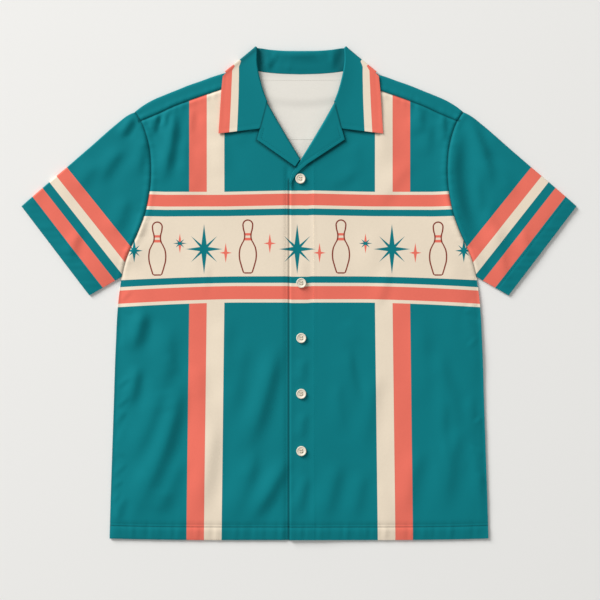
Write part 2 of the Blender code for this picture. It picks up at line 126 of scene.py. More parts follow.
# %% A socket that takes Python's signs
class Value:
    """A shader number. Its signs add Math nodes, and node() adds any other kind."""

    def __init__(self, tree, socket):
        self.tree, self.socket = tree, socket

    def node(self, kind, settings=None, inputs=None, output=0):
        made = self.tree.nodes.new(kind)
        for name, value in (settings or {}).items():
            setattr(made, name, value)
        for name, value in (inputs or {}).items():
            if isinstance(value, Value):
                self.tree.links.new(value.socket, made.inputs[name])
            else:
                made.inputs[name].default_value = value
        return Value(self.tree, made.outputs[output])

    def math(self, operation, other=None, clamp=False, first=None):
        inputs = {0: self} if first is None else {0: first, 1: self}
        if other is not None:
            inputs[1] = other
        return self.node("ShaderNodeMath", {"operation": operation, "use_clamp": clamp}, inputs)

    def __add__(self, other):
        return self.math("ADD", other)

    def __sub__(self, other):
        return self.math("SUBTRACT", other)

    def __mul__(self, other):
        return self.math("MULTIPLY", other)

    def __truediv__(self, other):
        return self.math("DIVIDE", other)

    def __rsub__(self, other):
        return self.math("SUBTRACT", first=other)

    def __abs__(self):
        return self.math("ABSOLUTE")

    __radd__, __rmul__ = __add__, __mul__

    def least(self, other):
        return self.math("MINIMUM", other)

    def most(self, other):
        return self.math("MAXIMUM", other)

    def above(self, edge, soft=0.3):
        """1 where the value is over an edge, 0 where it is under it, with a soft step."""
        return ((self - edge) * (1 / soft)).math("ADD", 0.5, clamp=True)

    def between(self, low, high, soft=0.3):
        return self.above(low, soft) * (1 - self.above(high, soft))


def mix(mask, low, high):
    """Colour low where the mask is 0, and high where it is 1."""
    return mask.node("ShaderNodeMix", {"data_type": "RGBA"}, {"Factor": mask, "A": low, "B": high}, output=2)


def linear(red, green, blue):
    """A colour from 0 to 255 as light."""
    light = [v / 255 / 12.92 if v < 10.3 else ((v / 255 + 0.055) / 1.055) ** 2.4 for v in (red, green, blue)]
    return (*light, 1)


TEAL, CORAL, CREAM = linear(4, 119, 127), linear(232, 113, 96), linear(233, 218, 196)
PIN_BROWN, INSIDE, BUTTON_CREAM = linear(132, 54, 40), linear(228, 224, 215), linear(238, 228, 208)
print("teal as light:", tuple(round(v, 3) for v in TEAL[:3]))

# %% [markdown]
# ## Printed cloth
#
# The shirt is a light plain-weave cloth, printed on one side and off-white within. The print follows
# the cut: each front has its bands and stripes placed on the piece, each sleeve has stripes along its
# cuff, and the collar has them along its outer edge. So one recipe makes the cloth, and each piece
# brings its own drawing.


# %% The cloth under the print
def start_finish(name):
    """A new material, the place of each point in millimetres, and that place's x, y and z."""
    made = bpy.data.materials.new(name)
    made.use_nodes = True
    tree = made.node_tree
    here = Value(tree, tree.nodes.new("ShaderNodeTexCoord").outputs["Object"])
    place = here.node("ShaderNodeVectorMath", {"operation": "SCALE"}, {0: here, "Scale": 1 / MM})
    axes = place.node("ShaderNodeSeparateXYZ", inputs={0: place}).socket.node
    return made, place, [Value(tree, axis) for axis in axes.outputs]


def drive(made, name, value):
    """Let a value drive one socket of a material's shader."""
    made.node_tree.links.new(value.socket, made.node_tree.nodes["Principled BSDF"].inputs[name])


def attribute(place, name):
    """A number that is kept on the points of the mesh."""
    return place.node("ShaderNodeAttribute", {"attribute_name": name}, output=2)


def noise(place, scale, detail, roughness=0.5):
    inputs = {"Vector": place, "Scale": scale, "Detail": detail, "Roughness": roughness}
    return place.node("ShaderNodeTexNoise", inputs=inputs)


WEAVE = 0.62  # how fine the waves are


def yarns(place, direction):
    """Fine waves across the cloth, for its warp or its weft."""
    inputs = {"Vector": place, "Scale": WEAVE, "Distortion": 0.25}
    return place.node("ShaderNodeTexWave", {"bands_direction": direction}, inputs, output=1)


def add_bump(made, height, strength):
    """Let a height in millimetres bend the light."""
    inputs = {"Strength": strength, "Distance": MM, "Height": height}
    drive(made, "Normal", height.node("ShaderNodeBump", inputs=inputs))


def toned(colour, tone):
    """A colour times a grey tone."""
    grey = tone.node("ShaderNodeCombineColor", inputs={0: tone, 1: tone, 2: tone})
    inputs = {"Factor": 1.0, "A": colour, "B": grey}
    return tone.node("ShaderNodeMix", {"data_type": "RGBA", "blend_type": "MULTIPLY"}, inputs, output=2)


def finish_cloth(made, place, colour, relief=0, dark=1.0, shade=0):
    """Weave, slubs and a soft sheen under a printed colour; relief is a drawing's own height in mm;
    seam_shade and shade darken the colour as painted shade, and a negative shade is a painted highlight.
    """
    cloudy, slub = noise(place, 0.012, 3.0), noise(place, 0.35, 4.0, 0.6)
    clouds, slubs = cloudy - 0.5, slub - 0.5
    # painted shade: the seam_shade attribute and shade darken the base colour where shadow falls
    tone = clouds * 0.10 + slubs * 0.07 + dark - attribute(place, "seam_shade") * 0.6 - shade
    drive(made, "Base Color", toned(colour, tone))
    weave = (yarns(place, "X") + yarns(place, "Y")) * 0.010
    add_bump(made, weave + slubs * 0.06 + clouds * 0.25 + relief, 0.6)
    drive(made, "Roughness", 0.74 + slubs * 0.12)
    shader = made.node_tree.nodes["Principled BSDF"]
    shader.inputs["Specular IOR Level"].default_value = 0.10
    shader.inputs["Sheen Weight"].default_value = 0.03
    shader.inputs["Sheen Roughness"].default_value = 0.45
    return made


print("the weave repeats every", round(math.tau / 20 / WEAVE, 2), "mm")

# %% [markdown]
# ### Bands, stripes, stars and pins
#
# The bands go across both fronts and the back. They hang a little lower towards the sides, as cut
# cloth does when it is laid out. A star is a set of thin diamonds that cross, and mirrored
# coordinates draw all its rays at once. A pin is a profile: a half width for every height, drawn as
# an outline of even width, with a round head.

# %% Shapes of the print
BANDS = [  # top edge of each band at the middle of the front, and its colour, from the bottom up
    (-13.8, None), (-9.2, CREAM), (10.7, CORAL), (15.5, CREAM), (25.2, TEAL),
    (117.5, CREAM), (127.4, TEAL), (132.2, CREAM), (150.0, CORAL), (154.7, CREAM),
]
RAMP_LOW, RAMP_HIGH = -20.0, 160.0
STRIPES = (113, 139.5, 165.8)  # inner edge, where cream meets coral, outer edge, all out from x = 1
PIN_PLACES, PIN_FOOT, PIN_HEIGHT, HEAD_RADIUS = (-212.7, -76.8, 63.0, 208.8), 30.6, 79.4, 7.3
PIN_PROFILE = [  # height above the foot, half width
    (0, 5.4), (1.2, 6.6), (3.5, 7.4), (12, 10.0), (24, 12.6), (34, 12.2), (44, 8.6),
    (50, 5.6), (55, 4.7), (60, 5.1), (66, 6.6), (72.1, 7.3),
]
PIN_RINGS = ((23.2, 19.6), (30.6, 26.6))  # lower and upper edge of each, down from the top of the pin
WIDEST = 20  # a curve node goes up to 1, which stands for this half width
BIG_STARS, BIG_STAR_Y = (-142.5, -2.7, 139.5), 66.4
HIGH_STARS, LOW_STARS = ((-178.8, -43.8, 99.8), 75.0), ((-110.0, 30.8, 174.6), 60.8)
TWINKLES, CUT_STAR = ((-178.8, 99.8), 75), (247.4, 64)  # the armholes cut the last stars off


def nearest(x, places):
    """Distance across to the nearest of several places."""
    found = None
    for place in places:
        away = abs(x - place)
        found = away if found is None else found.least(away)
    return found


def diamond(across, along, half, reach):
    """A long thin diamond, 1 inside it, as a ray of a star and its mirror image."""
    return 1 - (across * (1 / half) + along * (1 / reach)).above(1.0, 0.10)


def star(x, y, up, side, slant=0, slant_half=2.7, half=4.8):
    """A star of eight rays, or of four without a slant, from the distances x and y to its middle."""
    rays = diamond(x, y, half, up).most(diamond(y, x, half * 0.85, side))
    from_middle = x * x + y * y
    if not slant:
        return rays.most(1 - from_middle.above(6.5, 3.0))
    rays = rays.most(diamond(abs(x - y) * 0.7071, (x + y) * 0.7071, slant_half, slant))
    return rays.most(1 - from_middle.above((up * 0.16) ** 2, 4.0))


def pin_distance(x, y):
    """Rough distance to a pin's outline, negative inside, from x off its middle and y off its foot."""
    share = y * (1 / PIN_HEIGHT)
    ramp = share.node("ShaderNodeFloatCurve", inputs={"Value": share})
    curve = ramp.socket.node.mapping.curves[0]
    curve.points[0].location = (0, PIN_PROFILE[0][1] / WIDEST)
    curve.points[-1].location = (1, HEAD_RADIUS / WIDEST)
    for height, half in PIN_PROFILE[1:]:
        curve.points.new(height / PIN_HEIGHT, half / WIDEST)
    ramp.socket.node.mapping.update()
    body = (x - ramp * WIDEST) * 0.95
    above = (y - (PIN_HEIGHT - HEAD_RADIUS)).most(0)
    head = (x * x + above * above).math("SQRT") - HEAD_RADIUS
    is_head = above.above(0.01, 0.02)
    side = body * (1 - is_head) + head * is_head
    return side.most(0 - y)


print("bands:", len(BANDS) - 1, "and pins:", len(PIN_PLACES))

# %% Drawings of body, sleeves and collar
CUFF_TOP, CUFF_IN, CUFF_LENGTH = (417, 131), (-0.796, 0.606), 168.4  # upper corner, way in, length


def hang(x, y):
    """Level of each point among the bands, which hang a little lower at the lap and at the sides."""
    side = abs(x)
    low_sag = ((side - 90).most(0) * (1 / 165)).math("POWER", 1.6) * 6
    high_sag = (side * (1 / 110)).least(1) * 2.3 - (side - 200).most(0) * 0.03
    high = ((y - 5) * (1 / 135)).math("ADD", 0, clamp=True)
    lap = x.between(-14.2, 16, 8) * 0.7
    return y + lap + low_sag * (1 - high) + high_sag * high


def band_colours(level):
    """Colour of the bands at each level, from a ramp with hard steps."""
    share = (level - RAMP_LOW) * (1 / (RAMP_HIGH - RAMP_LOW))
    ramp = share.node("ShaderNodeValToRGB", inputs={0: share})
    stops = ramp.socket.node.color_ramp
    stops.interpolation = "CONSTANT"
    fills = [colour for _, colour in BANDS[1:]]
    for i, (low, fill) in enumerate(zip([RAMP_LOW] + [top for top, _ in BANDS], [CREAM] + fills)):
        at = (low - RAMP_LOW) / (RAMP_HIGH - RAMP_LOW)
        stop = stops.elements[i] if i < 2 else stops.elements.new(at)
        stop.position = at
        stop.color = fill
    return ramp


def body_drawing(x, y):
    """Colour of the print on the fronts and the back."""
    side, level = abs(x), hang(x, y)
    inner, meeting, outer = STRIPES
    stripe = abs(x - 1) - (-17 - y).most(0) * 0.0122
    colour = mix(stripe.between(inner, meeting), TEAL, CREAM)
    colour = mix(stripe.between(meeting, outer), colour, CORAL)
    colour = mix(level.between(BANDS[0][0], BANDS[-1][0]), colour, band_colours(level))
    colour = mix(star(nearest(x, BIG_STARS), abs(y - BIG_STAR_Y), 37.5, 27.5, 27.5), colour, TEAL)
    for places, middle in (HIGH_STARS, LOW_STARS):
        colour = mix(star(nearest(x, places), abs(y - middle), 15, 9.3, half=2.5), colour, CORAL)
    twinkle = star(nearest(x, TWINKLES[0]), abs(y - TWINKLES[1]), 3, 10.5, 9, slant_half=1.6, half=1.8)
    colour = mix(twinkle * side.above(90), colour, TEAL)
    last = star(abs(side - CUT_STAR[0]), abs(y - CUT_STAR[1]), 18, 13, 12, slant_half=1.9, half=3.2)
    colour = mix(last, colour, TEAL)
    foot = y + side.above(140, 1) * 3.1 - PIN_FOOT  # the outer pins stand a little lower
    away = pin_distance(nearest(x, PIN_PLACES), foot)
    first, second = (foot.between(PIN_HEIGHT - low, PIN_HEIGHT - high) for low, high in PIN_RINGS)
    colour = mix(first.most(second) * (1 - away.above(-0.4)), colour, CORAL)
    return mix(1 - abs(away).above(1.02, 0.35), colour, PIN_BROWN)


def sleeve_drawing(x, y):
    """Stripes along the cuff; the last stripe ends where the plain sleeve cap begins."""
    over, up = abs(x) - CUFF_TOP[0], y - CUFF_TOP[1]
    in_from_cuff = up * CUFF_IN[1] + over * CUFF_IN[0]
    along = (over * -CUFF_IN[1] + up * CUFF_IN[0]) * (1 / CUFF_LENGTH)
    level = in_from_cuff / (along * 0.05 + 1)
    colour = mix(level.between(22, 42), TEAL, CORAL)
    colour = mix(level.between(55.5, 69.5), colour, CREAM)
    return mix(level.between(69.5, 90), colour, CORAL)


def collar_drawing(from_edge):
    """Two stripes along the outer edge of the collar."""
    colour = mix(1 - from_edge.above(16.3), TEAL, CORAL)
    return mix(from_edge.between(16.3, 28), colour, CREAM)


print("a cuff is", CUFF_LENGTH, "mm long")

# %% Make the cloths
HEM_Y, HEM_HALF, HEM_RISE = -370.6, 284.6, 2.4  # lowest point, half width, rise of the corners
TURNED, FACING_X, LAP_X = 19.6, 22.0, -14  # stitches above a hem, stitches of the facing, edge of the lap


def groove(value, at, half=0.7, depth=0.22):
    """A shallow valley drawn in by a line of stitches."""
    return (1 - abs(value - at).above(half, half)) * -depth


def make_body_cloth(name, dark=1.0, seams=True):
    """The cloth with the bands; with seams, the grooves of the hem's and the facing's stitches, painted
    shade along the hem's stitches and beside the lap's edge, and a painted highlight along the facing.
    """
    made, place, (x, y, _) = start_finish(name)
    relief, shade = 0, 0
    if seams:
        up = y - HEM_Y - (abs(x) * (1 / HEM_HALF)).math("POWER", 4) * HEM_RISE
        relief = groove(up, TURNED) - groove(x, FACING_X)
        # painted shadow in a strip beside the over front's edge, where it lies on the under front
        shade = x.between(LAP_X - 3.3, LAP_X - 0.3, 1.2) * (1 - y.above(172, 6)) * 0.5
        # painted shade along the hem's line of stitches and along the turned edge inside it
        shade = shade + up.between(TURNED - 0.8, TURNED + 0.8, 1.0) * 0.35
        shade = shade + up.between(TURNED + 3.8, TURNED + 4.8, 1.0) * 0.15
        # painted highlight: a negative shade along the ridge of the facing
        shade = shade - x.between(FACING_X - 0.4, FACING_X + 1.4, 1.2) * 0.14
    return finish_cloth(made, place, body_drawing(x, y), relief, dark, shade)


def make_plain_cloth(name, colour, dark=1.0):
    made, place, _ = start_finish(name)
    return finish_cloth(made, place, colour, dark=dark)


def make_sleeve_cloth(name):
    made, place, (x, y, _) = start_finish(name)
    return finish_cloth(made, place, sleeve_drawing(x, y))


def make_collar_cloth(name):
    made, place, _ = start_finish(name)
    return finish_cloth(made, place, collar_drawing(attribute(place, "from_edge")))


body_cloth = make_body_cloth("printed body cloth")
inside_cloth = make_plain_cloth("inside of the cloth", INSIDE)
teal_cloth = make_plain_cloth("plain teal cloth", TEAL)
sleeve_cloth = make_sleeve_cloth("printed sleeve cloth")
collar_cloth = make_collar_cloth("striped collar cloth")
body_thread = make_body_cloth("thread on the body", 0.72, seams=False)
# a lighter copy of the body cloth for the facing's stitches: a painted highlight
highlight_thread = make_body_cloth("bright thread on the body", 1.1, seams=False)
teal_thread = make_plain_cloth("teal thread", TEAL, 0.72)
inside_thread = make_plain_cloth("thread on the inside", INSIDE, 0.82)
print("materials so far:", len(bpy.data.materials))

# %% [markdown]
# ## The cut of the shirt
#
# A shirt is cut from flat pieces, so its outline is best kept as a few short tables: side seam,
# armhole, shoulder, sleeve, roll of the collar. They are the same numbers as in the plain model, so
# each fine sheet falls exactly where its plain piece lies. A curve through a table gives any point
# between its rows.

# %% Curves through short tables
CLOTH, SEAM, FLOOR, LOFT = 1.0, 0.3, 0.5, 2.2  # thickness, gap at a seam, lowest layer, air within
LAYER = CLOTH + SEAM
BACK_SEAM_Y, TUCK_X = 231, 18  # yoke seam on the back, and the under front's hidden edge
COLLAR_X, NECK_HALF, ROLL_INSET = 2.7, 80.4, 4  # middle and half of the neck, edge in under the roll


def table(columns, *rows):
    """A short table as one array for each named column."""
    return dict(zip(columns.split(), np.array(rows, float).T))


def smooth(at, places, values):
    """A smooth curve through the places and values of a table, read at the given places."""
    at = np.clip(at, places[0], places[-1])
    slopes = np.gradient(values, places)
    i = np.clip(np.searchsorted(places, at) - 1, 0, len(places) - 2)
    width = places[i + 1] - places[i]
    t = (at - places[i]) / width
    rise = t * t * (3 - 2 * t)
    bend = t * (1 - t) ** 2 * slopes[i] + t * t * (t - 1) * slopes[i + 1]
    return values[i] + rise * (values[i + 1] - values[i]) + width * bend


def follow(rows, at):
    """The second column of a table, read at places in its first."""
    places, values = rows.values()
    return smooth(at, places, values)


def route(points, at):
    """Points at the given shares, 0 to 1, of the straight run through a few points."""
    points = np.array(points, float)
    lengths = np.r_[0, np.cumsum(np.linalg.norm(np.diff(points, axis=0), axis=1))]
    return np.stack([np.interp(at * lengths[-1], lengths, column) for column in points.T], axis=-1)


def ease(t):
    t = np.clip(t, 0, 1)
    return t * t * (3 - 2 * t)


def rounded(t):
    t = np.clip(t, 0, 1)
    return t * (2 - t)


def bell(away, width):
    """1 at no distance, and next to 0 from two widths on."""
    return np.exp(-((away / width) ** 2))


def distance(x, y, *corners):
    """Distance in plan from each point to a run of straight lines from corner to corner."""
    nearest_so_far = np.inf
    for start, end in zip(corners, corners[1:]):
        along = np.subtract(end, start)
        t = np.clip(((x - start[0]) * along[0] + (y - start[1]) * along[1]) / (along @ along), 0, 1)
        away = np.hypot(x - start[0] - t * along[0], y - start[1] - t * along[1])
        nearest_so_far = np.minimum(nearest_so_far, away)
    return nearest_so_far


def fill_in(left, right, low, high, across, up):
    """A grid between four edges: left and right run up, low and high run across, at given shares."""
    u, v = across[None, :, None], up[:, None, None]
    sides = (1 - u) * left[:, None] + u * right[:, None] + (1 - v) * low + v * high
    corners = (1 - v) * ((1 - u) * left[0] + u * right[0]) + v * ((1 - u) * left[-1] + u * right[-1])
    return sides - corners


print("each layer of cloth takes", LAYER, "mm")


# %% Outlines
SIDE_SEAM = table(
    "y half", (-371, 284.6), (-310, 283), (-235, 280.5), (-160, 278), (-85, 275.5), (-6, 270.7), (25, 266.4)
)
ARMHOLE = table(
    "y half", (25, 266.4), (45, 261.5), (69, 252.2), (90, 242.3), (124, 230.2), (150, 225),
    (168, 223), (192, 222.6), (217, 224.8), (239, 230), (258, 237.3), (272.5, 246.5),
)
SHOULDER = table(
    "half y", (0, 352), (60, 346), (80, 340.6), (104, 332.9), (118, 329), (130, 325.3), (148, 318.7),
    (166, 312.5), (184, 305.2), (202, 298), (220, 290.2), (238, 279.3), (247, 272.2),
)
FORWARD_SEAM = table(
    "half y", (62, 327), (80, 320.3), (118, 305.6), (139, 298.4), (163, 290), (186, 281.5), (211, 270),
    (239, 258.2),
)
SLEEVE_TOP = table(
    "x y",
    (246.5, 272.5), (256.5, 267.5), (274.5, 254), (310.5, 222.7), (346.5, 191.5), (382.5, 161),
    (417, 131),
)
CUFF_BOTTOM = (315, -3)
ROLL = table(
    "y out", (200.4, 0), (228.2, 17.1), (261.6, 36.8), (291.3, 51.6), (308.6, 57.3), (333.5, 63.5),
    (350.7, 65.9), (368, 66.4),
)
UNDER_EDGE = table("y x", (-371, TUCK_X), (160, TUCK_X), (174, 15.5), (188, 8), (198, 2.4))
OVER_EDGE = table("y x", (-371, LAP_X), (158, LAP_X), (167, -13), (180.5, -7.8), (187, -3.3), (198, 3.3))
NECK_EDGE = table("y out", (287, 56.5), (296, 68.2), (307, 76.8), (320, 80.4), (333, 80.4))


def armhole_half(y):
    return follow(ARMHOLE, y)


def hem_y(x):
    return HEM_Y + HEM_RISE * (np.abs(x) / HEM_HALF) ** 4


print(f"half the hem is {HEM_HALF:.0f} mm and the armhole is {np.ptp(ARMHOLE['y']):.0f} mm high")

# %% [markdown]
# ## Folds, puckers and seams as a height
#
# Cloth that was smoothed by hand keeps a few long soft folds, most of them running down from the
# shoulder or towards the hem, and many faint ones. A fold is a ridge with a shallow trough along one
# side. Each main one has a row in a table, and the faint ones are drawn from a seeded
# random series. Thread also draws up the cloth along a seam or hem, which gives small even puckers.
# A simulation would move the seams; a height that is added leaves every seam in its place.

# %% Main folds
CREASES = [  # from x, y to x, y, bow to the left of that way, half width, rise
    (-187.5, 280, -209, 160, 4.5, 9, 3.0), (-212, 270, -221, 236, 0, 4.5, 1.6),
    (-199, 274, -202, 246, 0, 4, 1.0), (-205.5, 272, -210, 250, 0, 3.5, -0.9),
    (-219, 264, -224, 244, 0, 4, 0.9), (-160, 280, -164, 236, 0, 6, 0.7),
    (-176, 236, -166, 168, -2, 12, 1.1), (-236, 120, -246, 78, 2, 8, 1.2),
    (-120, 240, -116, 170, 0, 14, 0.8), (-247, 268, -272, 232, 1, 6, 2.0),
    (-232, 246, -247, 170, 2, 9, 1.5), (-262, 222, -306, 160, -3, 11, 1.6),
    (-300, 200, -340, 150, -2, 12, 1.0), (-258, 150, -286, 84, 3, 12, 1.3),
    (-330, 96, -350, 40, 0, 9, 1.0), (-233, -20, -258, -92, 3, 12, 3.0),
    (-243, -104, -262, -176, 3, 10, 2.2), (-268, -44, -276, -90, 0, 6, -1.0),
    (-176, -116, -264, -350, 14, 15, 3.4), (-206, -130, -262, -262, 6, 14, 1.8),
    (-196, -40, -216, -170, 5, 15, 1.6), (-176, -236, -232, -348, 6, 15, 1.8),
    (-262, -300, -282, -352, 0, 8, 1.4), (-272, -196, -280, -226, 0, 6, -1.2),
    (-274, -244, -281, -268, 0, 6, -1.0), (-112, -30, -120, -150, 3, 15, 1.0),
    (-32, -66, -88, -250, 6, 14, 2.6), (-84, -60, -112, -200, 4, 16, 1.3),
    (-17, -240, -88, -352, 6, 13, 2.6), (-66, -236, -112, -350, 4, 15, 1.4),
    (-128, -180, -160, -346, 5, 16, 1.6), (180, 284, 182, 236, 0, 8, 1.2),
    (213.5, 270, 217, 216, 1, 7, 1.5), (196, 262, 190, 200, 0, 10, 1.0),
    (120, 286, 126, 180, 0, 15, 0.9), (80, 230, 86, 164, 0, 14, 0.6),
    (240, 256, 259, 64, -17, 14, 3.4), (250, 266, 290, 152, 5, 10, 2.8),
    (282, 206, 326, 140, 2, 12, 1.3), (276, 130, 300, 60, 4, 12, 1.2), (332, 100, 350, 46, 0, 9, 1.0),
    (258, 66, 282, 26, 2, 8, 1.0), (262, -30, 275, -140, 3, 10, 1.8),
    (206, -80, 246, -206, -6, 15, 1.9), (256, -150, 270, -222, -2, 9, 1.3),
    (266, -226, 280, -330, -3, 8, 1.6), (240, -196, 214, -338, -4, 15, 1.7),
    (178, -30, 186, -180, 4, 16, 1.2), (120, -110, 92, -250, -3, 15, 1.2),
    (186, -226, 152, -348, -4, 15, 1.3), (66, -60, 70, -220, 3, 16, 1.0),
    (60, -246, 30, -350, 2, 13, 1.4), (96, -262, 74, -350, 2, 12, 1.0),
    (12, -268, -6, -340, 0, 9, 1.0), (6, -96, 2, -140, 0, 8, 0.8), (8, -176, 0, -226, 0, 8, 0.9),
    (4, 60, 4, -40, 0, 10, 0.5),
]


def crease(x, y, x0, y0, x1, y1, bow, width, rise):
    """One soft fold: a ridge, steeper on its left, that fades at both ends, and a trough beside it."""
    along = np.array([x1 - x0, y1 - y0], float)
    length = math.hypot(*along)
    along /= length
    t = ((x - x0) * along[0] + (y - y0) * along[1]) / length
    away = (y - y0) * along[0] - (x - x0) * along[1] - bow * 4 * t * (1 - t)
    taper = ease(t / 0.32) * ease((1 - t) / 0.4)
    spread = width * (0.75 + 0.35 * np.clip(t, 0, 1)) * np.where(away > 0, 0.95, 1.4)
    ridge, trough = bell(away, spread), bell(away - 1.7 * spread, 1.2 * spread)
    return 1.35 * rise * taper * (ridge - 0.4 * trough)


def faint_creases(count=70, seed=4):
    """Rows like those above for the faint folds, drawn from a seeded series."""
    draw = random.Random(seed)
    rows = []
    for _ in range(count):
        x, y = draw.uniform(-380, 380), draw.uniform(-360, 300)
        angle, length = math.radians(draw.gauss(-90, 24)), draw.uniform(35, 120)
        end = x + length * math.cos(angle), y + length * math.sin(angle)
        rows.append((x, y, *end, draw.uniform(-5, 5), draw.uniform(6, 16), draw.uniform(0.2, 0.7)))
    return rows


def side_dents(count=22, seed=9):
    """Rows for the short dents that the thread of the side seams draws in."""
    draw = random.Random(seed)
    rows = []
    for _ in range(count):
        y, side = draw.uniform(-345, 5), draw.choice((-1, 1))
        x = side * (float(follow(SIDE_SEAM, y)) - 2)
        slope, length = math.radians(draw.uniform(35, 62)), draw.uniform(16, 34)
        end = x - side * length * math.cos(slope), y + length * math.sin(slope) * draw.choice((1, 1, -1))
        bow, width, rise = draw.uniform(-1, 1), draw.uniform(2.6, 4.2), draw.uniform(0.5, 1.0)
        rows.append((*end, x, y, bow, width, rise))
    return rows


FAINT = faint_creases() + side_dents()
print(len(CREASES), "main folds and", len(FAINT), "faint ones")


# %% Height of the front cloth
def ripple(along, seed):
    """An uneven wave, about -1 to 1, as a thread draws up a seam."""
    draw = random.Random(seed)
    wave = 0
    for length in (9, 13, 19, 31):
        turns = along / (length * draw.uniform(0.9, 1.1))
        wave = wave + np.sin(math.tau * turns + draw.uniform(0, math.tau)) / 2.4
    return wave


def cuff_depth(x, y):
    """Distance in from the cuff's edge, in plan, on either sleeve."""
    return (y - CUFF_TOP[1]) * CUFF_IN[1] + (np.abs(x) - CUFF_TOP[0]) * CUFF_IN[0]


def from_armhole(x, y, low, high):
    """Distance across to the armhole seam, where y is between low and high, and 99 elsewhere."""
    return np.where((y > low) & (y < high), np.abs(np.abs(x) - armhole_half(y)), 99)


def from_chest_seam(x, y, end):
    """Distance up or down to the forward yoke seam, out to x = end, and 99 elsewhere."""
    half = np.abs(x)
    return np.where((half < end) & (half > 60), np.abs(y - follow(FORWARD_SEAM, half)), 99)


def seam_relief(x, y):
    """Grooves where pieces meet, the small swell beside them, and the hems, which are turned twice."""
    height = 0
    for away, along, seed in ((from_armhole(x, y, 20, 275), y, 21), (from_chest_seam(x, y, 240), x, 22)):
        away = away * 0.93  # the seams run aslant
        pucker = 0.28 * ripple(along, seed) * bell(away - 4, 6)
        height = height - 1.25 * bell(away, 1.7) + 0.5 * bell(away - 4.5, 3) + pucker
    hem = y - hem_y(x)
    height = height + 0.6 * ease((21 - hem) / 3) * (np.abs(x) < 290)
    height = height - 1.1 * bell(hem - TURNED, 2.2) - 0.5 * bell(hem - 24, 1.8)
    height = height + 0.75 * ripple(x, 23) * bell(hem - 9, 13)
    cuff = np.where(np.abs(x) > 270, cuff_depth(x, y), 99)
    height = height + 0.4 * ease((21 - cuff) / 3) - 0.5 * bell(cuff - TURNED, 1.5)
    return height + 0.3 * ripple(y, 24) * bell(cuff - 9, 12)


def front_folds(x, y):
    return sum(crease(x, y, *row) for row in CREASES + FAINT)


FULL_SIDE, FULL_HEM, FULL_CUFF = 42, 34, 40  # how far in from each edge the air within is at its full


def front_height(x, y):
    """Middle of the front cloth: low along the hem, side seam and underarm, lofted between."""
    side = distance(np.abs(x), y, (HEM_HALF, -371), (266.4, 25), CUFF_BOTTOM)
    puff = rounded(side / FULL_SIDE) * rounded((y - hem_y(x)) / FULL_HEM)
    open_end = np.where(np.abs(x) > 290, rounded(cuff_depth(x, y) / FULL_CUFF), 1)
    puff = puff * (0.25 + 0.75 * open_end)
    folds = front_folds(x, y) * (0.3 + 0.7 * puff)
    drawn = FLOOR + LAYER + LOFT * puff + folds + seam_relief(x, y) * (0.4 + 0.6 * puff)
    return np.maximum(drawn, FLOOR + LAYER + 0.1 * puff)


def lap_step(x):
    """One layer more where the over front lies on the under front, let down slowly beyond it."""
    return LAYER * ease((84 - x) / 62)


def calm_height(x, y):
    """What the collar and the lapels lie on: the front cloth without its seams, its folds faint."""
    return FLOOR + LAYER + LOFT + 0.3 * front_folds(x, y) + lap_step(x) * ease((x + 60) / 45)


def over_height(x, y):
    """The over front, with its rounded edge and the ridge of its facing."""
    facing = 0.45 * bell(x - FACING_X, 1.6)
    edge = 0.8 * bell(x - LAP_X, 6) - 0.7 * bell(x - LAP_X, 1.2)
    return front_height(x, y) + lap_step(x) + facing + edge


def under_height(x, y):
    """The under front, pressed down along the edge that lies on it."""
    return front_height(x, y) - 1.3 * bell(x - LAP_X + 3.5, 3.2) * ease((196 - y) / 14)


level = float(front_height(np.array([100.0]), np.array([-100.0]))[0])
print(f"the middle of the front cloth lies {level:.1f} mm up at x 100, y -100")

# %% [markdown]
# ## From a grid to a sheet of cloth
#
# Each piece is a grid of points in the middle of its cloth. Half the thickness goes to each side,
# and a rim closes the open edges, so the sheet is one closed shell with a printed face and an
# off-white face. The grid is closer at its borders, because that is where seams and hems bend.


# %% Sheets from grids
def unit(vectors):
    return vectors / np.maximum(np.linalg.norm(vectors, axis=-1, keepdims=True), 1e-9)


def tangents(grid, axis):
    steps_taken = unit(np.diff(grid, axis=axis))
    before = np.concatenate([np.take(steps_taken, [0], axis), steps_taken], axis)
    after = np.concatenate([steps_taken, np.take(steps_taken, [-1], axis)], axis)
    return unit(before + after)


def steps(length, cell, fine=(0.6, 1.6, 3.0, 5.0)):
    """Shares from 0 to 1 along a length in mm, closer together at both ends."""
    ends = np.r_[0, fine]
    inner = np.linspace(ends[-1], length - ends[-1], max(2, round((length - 2 * ends[-1]) / cell) + 1))
    return np.r_[ends[:-1], inner, length - ends[-2::-1]] / length


def seam_shade(x, y):
    """1 along the seams of the armholes and the chest, where the cloth dips and painted shade darkens it, 0
    elsewhere.
    """
    return bell(np.minimum(from_armhole(x, y, 24, 276), from_chest_seam(x, y, 241)), 1.15)


def add_values(mesh, name, values):
    """One number for each point of a mesh, for its materials to read."""
    made = mesh.attributes.new(name, "FLOAT", "POINT")
    made.data.foreach_set("value", values.astype(np.float32))


